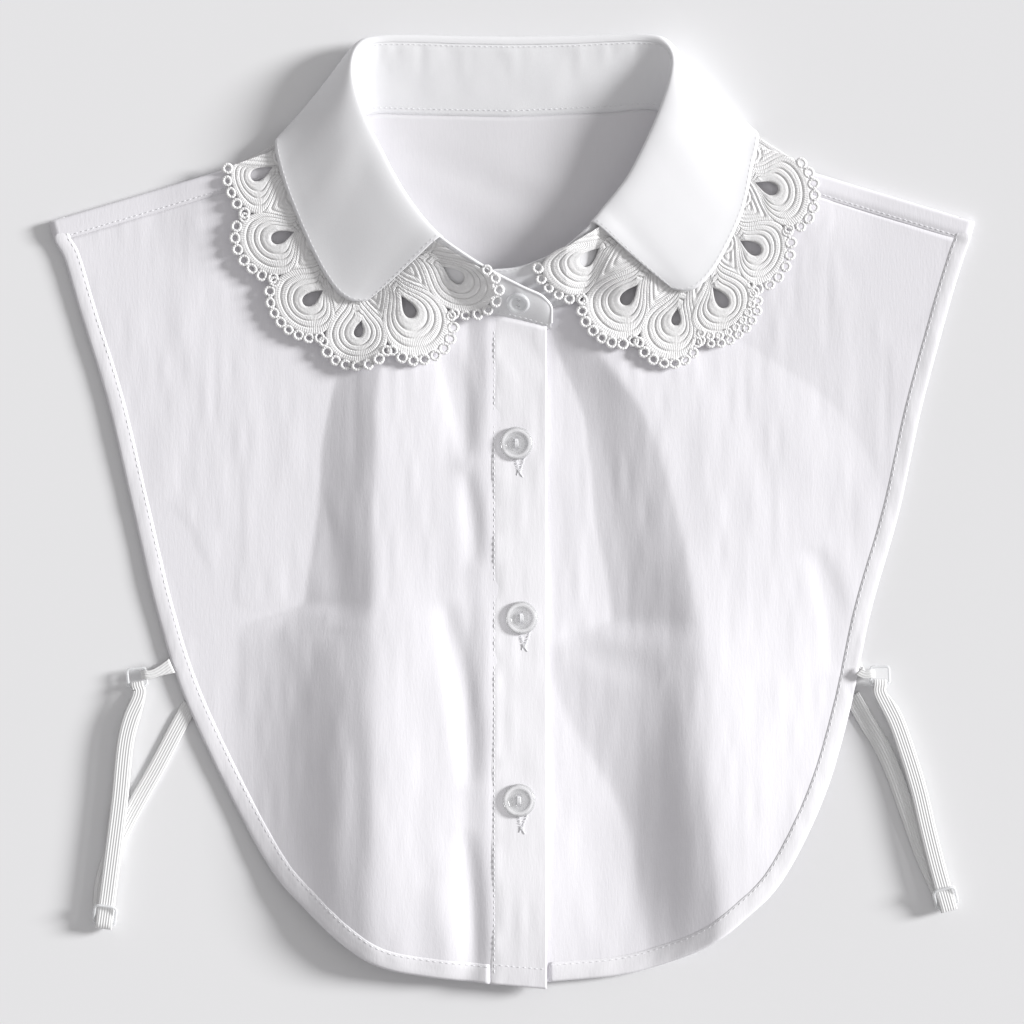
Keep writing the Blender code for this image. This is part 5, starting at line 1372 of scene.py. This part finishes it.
SLIDER_LENGTH, SLIDER_WIDTH, SLIDER_CORNER = 7.6, 8.8, 1.6

# %% Ribbons
RIBBON_COLUMNS = 9


def ribbon(name, node, path, profile, closed=False, waist=None, wave=0.0):
    """Elastic over a plan path: the profile's (travel, height) pairs are joined by a smooth curve, and a waist
    (width, travel, reach) narrows it. A wave bends the band's edges up and down a little."""
    route = smooth_rows(path, 400)
    travel = travel_of(route)
    ahead = unit(np.gradient(route, axis=0))
    profile = np.array(profile, float)
    if closed:
        profile = np.vstack((profile, profile[:1]))
    steps = travel_of(profile)
    fine = np.linspace(0.0, steps[-1], max(24, int(steps[-1] / 0.9)))
    s, z = (np.interp(fine, steps, profile[:, k]) for k in (0, 1))
    inside = np.clip(s, 0.0, travel[-1])
    spot = np.stack([np.interp(inside, travel, route[:, k]) for k in (0, 1)], axis=1)
    way = unit(np.stack([np.interp(inside, travel, ahead[:, k]) for k in (0, 1)], axis=1))
    spot = spot + way * column_of(s - inside)
    width = np.full(len(s), ELASTIC)
    if waist is not None:
        width = mix(waist[0], ELASTIC, ramp(np.abs(s - waist[1]), 3.0, waist[2]))
    across = np.linspace(-0.5, 0.5, RIBBON_COLUMNS)[None, :, None]
    plan = spot[:, None] + turned(way)[:, None] * width[:, None, None] * across
    crown = -0.10 * (2.0 * across[..., 0])**4
    lift = wave * soft_noise(s[:, None], 30.0 * across[..., 0], 17.0, 30.0, len(name)) if wave else 0.0
    surface = raised(plan, z[:, None] + crown + lift)
    piece = cloth_piece(name, [surface], STRAP_ELASTIC, thickness=0.85, offset=0.0, even=False)
    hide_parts(node)
    return piece


def turn_profile(at, low, high, way, steps=12):
    """Half circle from the low to the high layer round a wire; way is +1 or -1 along the path."""
    middle, radius = (low + high) / 2.0, (high - low) / 2.0
    angles = np.linspace(-math.pi / 2.0, math.pi / 2.0, steps + 1)
    return [(at + way * radius * math.cos(a), middle + radius * math.sin(a)) for a in angles]


def ring_frame(side):
    """The ring's middle, and its foot and tab directions, in plan."""
    x, y, degrees, hand = RINGS[side]
    foot = np.array((math.cos(math.radians(degrees)), math.sin(math.radians(degrees))))
    return np.array((x, y)), foot, turned(foot[None])[0] * hand


def loop_path(side):
    """The loop's path: square off the ring's foot bar, then along the table."""
    middle, foot, _ = ring_frame(side)
    start = middle + foot * (RING_LENGTH / 2.0)
    return np.vstack((start, start + foot * 4.0, LOOP_PATHS[side]))


def straps(side):
    """Loop, anchor and tab of one side."""
    path = loop_path(side)
    end = travel_of(smooth_rows(path, 200))[-1]
    rear = [(s, REAR_Z) for s in np.linspace(end, 0.0, 10)[1:-1]]
    front = [(s, FRONT_Z) for s in np.linspace(0.0, end, 10)[1:-1]]
    near = turn_profile(0.0, REAR_Z, FRONT_Z, -1.0)
    far = turn_profile(end, REAR_Z, FRONT_Z, 1.0)[::-1]
    made = [ribbon("loop_elastic_" + side, "strap_loop_" + side, path, rear + near + front + far, closed=True,
                   waist=(LOOP_WAIST, 0.0, 14.0))]
    path = ANCHOR_PATHS[side]
    length = travel_of(smooth_rows(path, 200))[-1]
    made.append(ribbon("anchor_elastic_" + side, "strap_anchor_" + side, path,
                       [(s, ANCHOR_Z) for s in np.linspace(0.0, length, 12)]))
    middle, foot, reach = ring_frame(side)
    bar = middle + reach * (RING_WIDTH / 2.0) - foot * TAB_OFFSET
    path = np.vstack((TAB_STARTS[side], bar + reach * 3.0, bar))
    end = travel_of(smooth_rows(path, 200))[-1]
    turn = mix(TAB_UNDER, end, 0.6)
    profile = [(0.0, 0.85), (TAB_UNDER, 0.85), (turn, REAR_Z - 0.2)]
    profile += turn_profile(end, REAR_Z, FRONT_Z, 1.0) + [(turn, FRONT_Z - 0.1), (TAB_UNDER, 4.75)]
    made.append(ribbon("tab_elastic_" + side, "strap_tab_" + side, path, profile, waist=(TAB_WAIST, end, end)))
    return made


ribbons = straps("left") + straps("right")

# %% Rings and sliders
def tube(path, radius, sections, closed=True):
    """A tube round a 3-D path: its sections stand square on the path, and one axis of them stays level."""
    ahead = unit((np.roll(path, -1, axis=0) - np.roll(path, 1, axis=0)) if closed
                 else np.gradient(path, axis=0))
    level = unit(np.stack((-ahead[:, 1], ahead[:, 0], np.zeros(len(path))), axis=1))
    upward = np.cross(ahead, level)
    angle = np.linspace(0.0, 2.0 * math.pi, sections + 1)[:-1]
    ring_of = level[:, None] * np.cos(angle)[None, :, None] + upward[:, None] * np.sin(angle)[None, :, None]
    return path[:, None] + ring_of * radius


def moulded_frame(name, node, middle, foot, length, width, corner, heights):
    """A rounded frame of round bars, its foot bar at the first height and its head bar at the second."""
    across, outline = turned(foot[None])[0], []
    for way, sign, start in ((1.0, 1.0, 90.0), (1.0, -1.0, 0.0), (-1.0, -1.0, -90.0), (-1.0, 1.0, -180.0)):
        for step in range(9):
            angle = math.radians(start - 11.25 * step)
            outline.append((way * (length / 2.0 - corner) + corner * math.cos(angle),
                            sign * (width / 2.0 - corner) + corner * math.sin(angle)))
    outline = resample(np.array(outline + outline[:1]), 73)[:-1]
    plan = middle + foot * outline[:, :1] + across * outline[:, 1:]
    path = raised(plan, mix(heights[0], heights[1], 0.5 - outline[:, 0] / length))
    piece = solid_rows(name, tube(path, WIRE, 12), CLEAR, closed=True)
    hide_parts(node)


for side in ("left", "right"):
    middle, foot, _ = ring_frame(side)
    moulded_frame("ring_moulded_" + side, "strap_ring_" + side, middle, foot, RING_LENGTH, RING_WIDTH,
                  RING_CORNER, (WIRE_Z, WIRE_Z))
    path = smooth_rows(loop_path(side), 200)
    way = unit(path[-1] - path[-12])
    moulded_frame("slider_moulded_" + side, "strap_slider_" + side, path[-1] - way * (SLIDER_LENGTH / 2.0), way,
                  SLIDER_LENGTH, SLIDER_WIDTH, SLIDER_CORNER, (WIRE_Z, FRONT_Z + WALL / 2.0 + GAP + WIRE + 0.1))
print("strap pieces:", len(ribbons) + 4)

# %% [markdown]
# ## Buttons
# Clear buttons of 13.6 mm on the placket and 9.6 mm on the stand, turned with a raised rim and two holes. A lathe
# alone gives no holes, and cutting them leaves long thin faces, so each half of the button is a grid that runs
# from the hole's wall out to the rim: the height is a function of the distance from the button's own middle, and
# the two halves are welded along the line between them.

# %% The buttons
BUTTON, STAND_BUTTON, BUTTON_THICKNESS, BUTTON_SEAT = 13.6, 9.6, 1.9, 0.1
BUTTON_SPOTS = ((1.5, 28.5), (3.5, -43.0), (2.5, -117.5))
STAND_BUTTON_SPOT = (2.5, 86.6)
# radius share, top and bottom height as shares of the thickness
BUTTON_FORM = np.array((
    (0.00, 0.68, 0.02), (0.30, 0.68, 0.02), (0.50, 0.69, 0.0), (0.58, 0.74, 0.0), (0.66, 0.92, 0.0),
    (0.74, 1.00, 0.0), (0.84, 0.99, 0.04), (0.92, 0.88, 0.16), (0.97, 0.72, 0.34), (1.00, 0.52, 0.52),
))


def half_button(radius, mirror):
    """Rays from the hole to the half disc's outline; rows go bottom outline, hole, top outline."""
    hole, hole_radius = np.array((0.0, 0.27 * radius)), 0.125 * radius
    arc = np.linspace(0.0, math.pi, 57)
    flat = np.linspace(-1.0, 1.0, 25)[1:-1]
    loop = np.vstack((np.stack((np.cos(arc), np.sin(arc)), axis=1), np.stack((flat, 0.0 * flat), axis=1)))
    loop = loop * radius
    rim = hole + unit(loop - hole) * hole_radius
    shares = np.linspace(0.0, 1.0, 20)[:, None, None]**0.9
    plan = mix(rim[None], loop[None], shares)
    distance = np.minimum(np.linalg.norm(plan, axis=-1) / radius, 1.0)
    top = np.interp(distance, BUTTON_FORM[:, 0], BUTTON_FORM[:, 1]) * BUTTON_THICKNESS
    low = np.interp(distance, BUTTON_FORM[:, 0], BUTTON_FORM[:, 2]) * BUTTON_THICKNESS
    grid = np.concatenate((raised(plan, low)[::-1], raised(plan, top)))
    grid[..., :2] *= -1.0 if mirror else 1.0
    shares = np.concatenate((distance[::-1], distance))
    return grid, np.stack((shares, np.zeros(shares.shape)), axis=-1)


def tilt_to(points, normal):
    """Turn points so that +Z points along the normal, by the shortest turn."""
    axis = np.array((-normal[1], normal[0], 0.0))
    sine, cosine = np.linalg.norm(axis), normal[2]
    if sine < 1e-9:
        return points
    axis = axis / sine
    along = (points @ axis)[..., None] * axis
    return points * cosine + np.cross(axis, points) * sine + along * (1.0 - cosine)


def button(name, node, diameter, seat, normal, look):
    """Both halves welded, turned to the cloth's slope and moved to the seat."""
    halves, uvs = zip(*(half_button(diameter / 2.0, mirror) for mirror in (False, True)))
    points = np.vstack([half.reshape(-1, 3) for half in halves])
    uv = np.vstack([pair.reshape(-1, 2) for pair in uvs])
    size = halves[0].shape[0] * halves[0].shape[1]
    quads = grid_faces(*halves[0].shape[:2], wrap_columns=True)
    corner = halves[0].reshape(-1, 3)[quads[0]]
    faces = np.vstack((quads, quads + size))
    kept, faces = weld(points, faces, 0.004)
    flipped = np.cross(corner[2] - corner[0], corner[3] - corner[1])[2] > 0.0
    faces = faces[:, ::-1] if flipped else faces
    placed = tilt_to(points[kept], normal) + seat + normal * BUTTON_SEAT
    piece = new_piece(name, placed, faces, look, uv[kept])
    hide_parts(node)


def placket_seat(x, y):
    """Point of the placket's upper side and its normal there, from heights half a button away."""
    reach = BUTTON / 2.0
    xs, ys = np.array((x - reach, x + reach, x, x)), np.array((y, y, y - reach, y + reach))
    aside = front_level(xs, ys, "left") + placket_tilt(xs, ys)
    normal = unit(np.array((aside[0] - aside[1], aside[2] - aside[3], 2.0 * reach)))
    return np.array((x, y, np.mean(aside) + PLACKET_OVER + BINDING_WALL)), normal


def stand_seat(spot):
    """Point of the stand tab's upper side and its normal there."""
    tab = STAND[:12 * ALONG]
    apart = np.linalg.norm(tab[..., :2] - spot, axis=-1)
    i, j = np.unravel_index(np.argmin(apart), apart.shape)
    normal = unit(np.cross(tab[i + 4, j] - tab[i - 4, j], tab[i, j + 2] - tab[i, j - 2]))
    normal = normal if normal[2] > 0 else -normal
    level = tab[i, j, 2] - ((spot - tab[i, j, :2]) @ normal[:2]) / normal[2]
    return np.array((*spot, level)) + normal * (WALL / 2.0), normal


SEATS = [(f"button_clear_{n}", f"button_placket_{n}", BUTTON, *placket_seat(*spot), CLEAR_BUTTON_PAINTED_LIGHT)
         for n, spot in enumerate(BUTTON_SPOTS, start=1)]
SEATS.append(("button_clear_stand", "button_collar", STAND_BUTTON, *stand_seat(np.array(STAND_BUTTON_SPOT)), CLEAR))
for seat in SEATS:
    button(*seat)
print("button seats in mm:", [np.round(seat[3], 1).tolist() for seat in SEATS])

# %% [markdown]
# ## Sewing
# Topstitching runs 1.2 mm inside every folded edge. Each stitch is a short tapered tube that dips into the cloth
# at both ends. They are the same few dozen faces repeated some 950 times, so all stitches of one seam are worked
# out as one array, stitch by point by section.

# %% Stitches
STITCH_FACES = (5, 5)                  # points along a stitch and sections round it


def stitches(name, path, length=2.0, gap=0.7, thread=0.17, lift=0.10, seed=81):
    """Tubes along a 3-D path, raised by lift * sin(pi t) over each stitch. Gives the number of stitches."""
    travel = travel_of(path)
    count = int(travel[-1] / (length + gap))
    wander = np.random.default_rng(seed).uniform(-1.0, 1.0, (3, count))
    start = (np.arange(count) + 0.5) * travel[-1] / count + wander[0] * 0.12
    share = np.linspace(-0.5, 0.5, STITCH_FACES[0])
    at = start[:, None] + share[None, :] * (length * (1.0 + 0.06 * wander[1]))[:, None]
    points = np.stack([np.interp(at, travel, path[:, k]) for k in range(3)], axis=-1)
    ahead = unit(points[:, -1] - points[:, 0])
    level = unit(np.stack((-ahead[:, 1], ahead[:, 0], np.zeros(count)), axis=1))
    upward = np.cross(ahead, level)
    points = points + upward[:, None] * (lift * np.cos(math.pi * share) - 0.35 * thread)[None, :, None]
    points = points + level[:, None] * (0.05 * wander[2])[:, None, None]
    thread_tubes(name, points, level, upward, thread, length)
    return count


def thread_tubes(name, points, level, upward, thread, length):
    """One mesh of many short tubes along points (tubes, steps, 3); the radius is r * sqrt(1 - (2 t)^6)."""
    count, share = len(points), np.linspace(-0.5, 0.5, points.shape[1])
    taper = thread * np.sqrt(np.maximum(1.0 - (2.0 * share)**6, 0.02))
    angle = np.linspace(0.0, 2.0 * math.pi, STITCH_FACES[1] + 1)[:-1]
    around = (level[:, None, :] * np.cos(angle)[None, :, None] + upward[:, None, :] * np.sin(angle)[None, :, None])
    grid = points[:, :, None] + around[:, None] * taper[None, :, None, None]
    ends = [np.repeat(points[:, k][:, None, None], STITCH_FACES[1], axis=2) for k in (0, -1)]
    grid = np.concatenate((ends[0], grid, ends[1]), axis=1)
    rows, sections = grid.shape[1:3]
    quads = grid_faces(rows, sections, wrap_columns=True)
    faces = (quads[None] + (np.arange(count) * rows * sections)[:, None, None]).reshape(-1, 4)
    along = np.broadcast_to(np.linspace(0.0, length, rows)[None, :, None], grid.shape[:3]) / 10.0
    turn = np.broadcast_to((np.arange(sections) * thread)[None, None, :], grid.shape[:3]) / 10.0
    flat = grid.reshape(-1, 3)
    return new_piece(name, flat, faces, THREAD, np.stack((along, turn), axis=-1).reshape(-1, 2))


def bars(name, starts, ends, thread, lift):
    """Straight bars of thread from each start to each end, bowed up by lift * cos(pi t)."""
    ahead = unit(ends - starts)
    level = unit(np.stack((-ahead[:, 1], ahead[:, 0], np.zeros(len(ahead))), axis=1))
    upward = np.cross(ahead, level)
    share = np.linspace(-0.5, 0.5, STITCH_FACES[0])
    points = mix(starts[:, None], ends[:, None], (share + 0.5)[None, :, None])
    points = points + upward[:, None] * (lift * np.cos(math.pi * share))[None, :, None]
    return thread_tubes(name, points, level, upward, thread, float(np.mean(np.linalg.norm(ends - starts, axis=1))))


def along_row(surface, share):
    """The line at a share of the way across a surface's rows, as points (n, 3)."""
    place = share * (surface.shape[1] - 1)
    k = np.minimum(int(place), surface.shape[1] - 2)
    return mix(surface[:, k], surface[:, k + 1], place - k)


total = 0
for side in ("left", "right"):
    line = along_row(BINDING_SURFACES[side], 1.0 - STITCH_IN / BINDING_MEAN) + (0.0, 0.0, BINDING_WALL)
    total += stitches("binding_stitches_" + side, resample(line, 900))
    line = FLAPS[side][2:-2, -3] + (0.0, 0.0, CLOTH)
    total += stitches("shoulder_stitches_" + side, resample(line, 300), length=1.6)
line = PLACKET_SURFACE[2, 4:-3] + (0.0, 0.0, BINDING_WALL)
total += stitches("placket_stitches", resample(line, 700), length=1.9, gap=0.5)
line = PLACKET_SURFACE[1:-1, BINDING_RINGS] + (0.0, 0.0, BINDING_WALL)
total += stitches("placket_hem_stitches", resample(line, 80), length=1.7)


def over_row(surface, k, over=0.45):
    """Row k of a surface (along its first axis), lifted along the surface's upper normal."""
    normal = unit(np.cross(np.gradient(surface, axis=0), np.gradient(surface, axis=1)))
    normal = normal * np.sign(normal[..., 2:])
    return surface[:, k] + normal[:, k] * over


for name, k in (("seat", 2), ("roll", 24)):
    line = over_row(STAND, k)[3:-3]
    total += stitches("stand_stitches_" + name, resample(line, 1200), length=1.5, gap=0.75)
for side in ("left", "right"):
    outer = over_row(FALLS[side], -2)[5 * ALONG:-3]
    front = over_row(FALLS[side].swapaxes(0, 1), -3)[:-2][::-1][:36]
    for name, line in (("outer", outer), ("front", front)):
        total += stitches("fall_stitches_" + name + "_" + side, resample(line, 500), length=1.4, gap=0.9, thread=0.13)
print("topstitches:", total)

# %% [markdown]
# A button is held by three strands from hole to hole. Under it shows the end of its buttonhole: two legs of short
# satin stitches, which meet in a small bar. Their lengths and places are a little uneven, as a machine leaves them.

# %% Thread in the buttons and the ends of the buttonholes
def button_thread(name, diameter, seat, normal):
    """Three strands across the two holes, 0.55 to 0.44 mm apart, in the button's own plane."""
    reach, aside = 0.27 * diameter / 2.0 + 0.3, np.array((-0.55, 0.0, 0.55))
    level = np.full(3, BUTTON_SEAT + 0.72 * BUTTON_THICKNESS)
    starts = np.stack((aside, np.full(3, -reach), level), axis=1)
    ends = np.stack((aside * 0.8, np.full(3, reach), level), axis=1)
    return bars("thread_" + name, tilt_to(starts, normal) + seat, tilt_to(ends, normal) + seat, 0.34, 0.35)


def buttonhole_end(name, spot, seed):
    """Satin stitches stacked down two legs, from 5.5 mm under the button's middle to a bar at 11.6 mm."""
    dice = np.random.default_rng(seed)
    starts, ends = [], []
    for top, foot in (((-0.3, -5.6), (1.0, -11.6)), ((3.6, -5.4), (1.5, -11.6))):
        middles = np.linspace(top, foot, 11) + dice.uniform(-0.18, 0.18, (11, 2))
        half = dice.uniform(0.55, 0.85, (11, 1)) * unit(np.array([[1.0, 0.25]])) + dice.uniform(-0.12, 0.12, (11, 2))
        starts.append(middles - half)
        ends.append(middles + half)
    bar = np.stack((np.full(4, 0.2), np.linspace(-12.1, -11.0, 4)), axis=1)
    starts.append(bar)
    ends.append(bar + (2.2, 0.1))
    starts.append(np.array([[1.4, -12.0], [0.6, -11.8]]))
    ends.append(np.array([[2.9, -13.9], [0.4, -13.2]]))
    spots = [np.vstack(group) + spot for group in (starts, ends)]
    x, y = spots[0][:, 0], spots[0][:, 1]
    level = front_level(x, y, "left") + PLACKET_OVER + BINDING_WALL + 0.1 + placket_tilt(x, y)
    return bars(name, raised(spots[0], level), raised(spots[1], level), 0.17, 0.06)


threads = [button_thread(name, diameter, seat, normal) for name, _, diameter, seat, normal, _ in SEATS[:3]]
threads += [buttonhole_end(f"buttonhole_end_{k}", np.array(spot), 90 + k)
            for k, spot in enumerate(BUTTON_SPOTS, start=1)]
print("threads on the placket:", len(threads))

# %% [markdown]
# The tab's edge is turned and pressed into a thick roll, which catches the light all along the top and round the
# end of the tab.

# %% Rolled edge of the tab
TAB_ROLL = 0.62
count = int(5.5 * ALONG)
end_rows, top_rows = STAND[0, 3:-1], STAND[:count, -1]
rolled = resample(np.vstack((end_rows, top_rows)), 120)
rolled = np.stack([np.convolve(np.pad(rolled[:, k], 3, mode="edge"), np.full(7, 1.0 / 7.0), mode="valid")
                   for k in range(3)], axis=1)
solid_rows("tab_rolled_edge", tube(rolled + (0.0, 0.0, 0.1), TAB_ROLL, 10, closed=False), COLLAR_CLOTH)
print("rolled edge:", round(float(travel_of(rolled)[-1])), "mm")

# %% [markdown]
# ## The cut of every sheet
# Bindings, seams and buttons belong to the sheet that they are sewn to. Some of the sheets' flat lengths are
# known to be wrong. Measured along the cloth, in metres, the stand is 0.397 to 0.401 long, the side laces are
# 0.164 and 0.168 at their notches and up to 0.043 deep, the placket is 0.272 to 0.275 long, and the back with
# its flaps is 0.363 long.


print("sheets:", 9)

# %% [markdown]
# ## Table, light and camera
# The collar lies on a plain pale table under one large soft window from the right, low enough to draw every fold,
# with the room's even light filling the shadows. The camera looks straight down with a long lens.

# %% Floor, light, camera
def floor():
    """A wide pale sheet just under the cloth."""
    look = Look("table_paint", Roughness=0.9, Specular_IOR_Level=0.1)
    place = look.object_place()
    cloud = look.noise(place, (1.0, 1.0, 1.0), 3.0, 2.0)
    look.link("Base Color", look.colour(cloud, FLOOR_DARK, FLOOR_LIGHT))
    mesh = bpy.data.meshes.new("table")
    reach = 2.5
    mesh.from_pydata([(-reach, -reach, -0.0002), (reach, -reach, -0.0002), (reach, reach, -0.0002),
                      (-reach, reach, -0.0002)], [], [(0, 1, 2, 3)])
    mesh.materials.append(look.material)
    table = bpy.data.objects.new("table", mesh)
    bpy.context.scene.collection.objects.link(table)


FLOOR_DARK, FLOOR_LIGHT = (0.815, 0.815, 0.825), (0.825, 0.825, 0.835)
floor()

SUN_HEIGHT, SUN_TURN = 20.0, 13.0      # degrees above the table, and from +X towards +Y
sun = bpy.data.lights.new("window", "SUN")
sun.energy, sun.angle = 4.6, math.radians(15.0)
sun_object = bpy.data.objects.new("window", sun)
sun_object.rotation_euler = (0.0, math.radians(90.0 - SUN_HEIGHT), math.radians(SUN_TURN))
bpy.context.scene.collection.objects.link(sun_object)

world = bpy.data.worlds.new("room")
world.use_nodes = True
world.node_tree.nodes["Background"].inputs["Color"].default_value = (0.90, 0.89, 0.895, 1.0)
world.node_tree.nodes["Background"].inputs["Strength"].default_value = 0.50
bpy.context.scene.world = world

camera = bpy.data.cameras.new("overhead")
camera.sensor_width, camera.lens = 36.0, 200.0
VIEW = 419.84 * MM
distance = VIEW * camera.lens / camera.sensor_width
camera_object = bpy.data.objects.new("overhead", camera)
camera_object.location = (0.0, -0.46 * MM, distance + 0.004)
camera.clip_end = 20.0
bpy.context.scene.collection.objects.link(camera_object)
bpy.context.scene.camera = camera_object
bpy.context.scene.view_settings.view_transform = "Standard"
print("camera height:", round(distance, 3), "m")
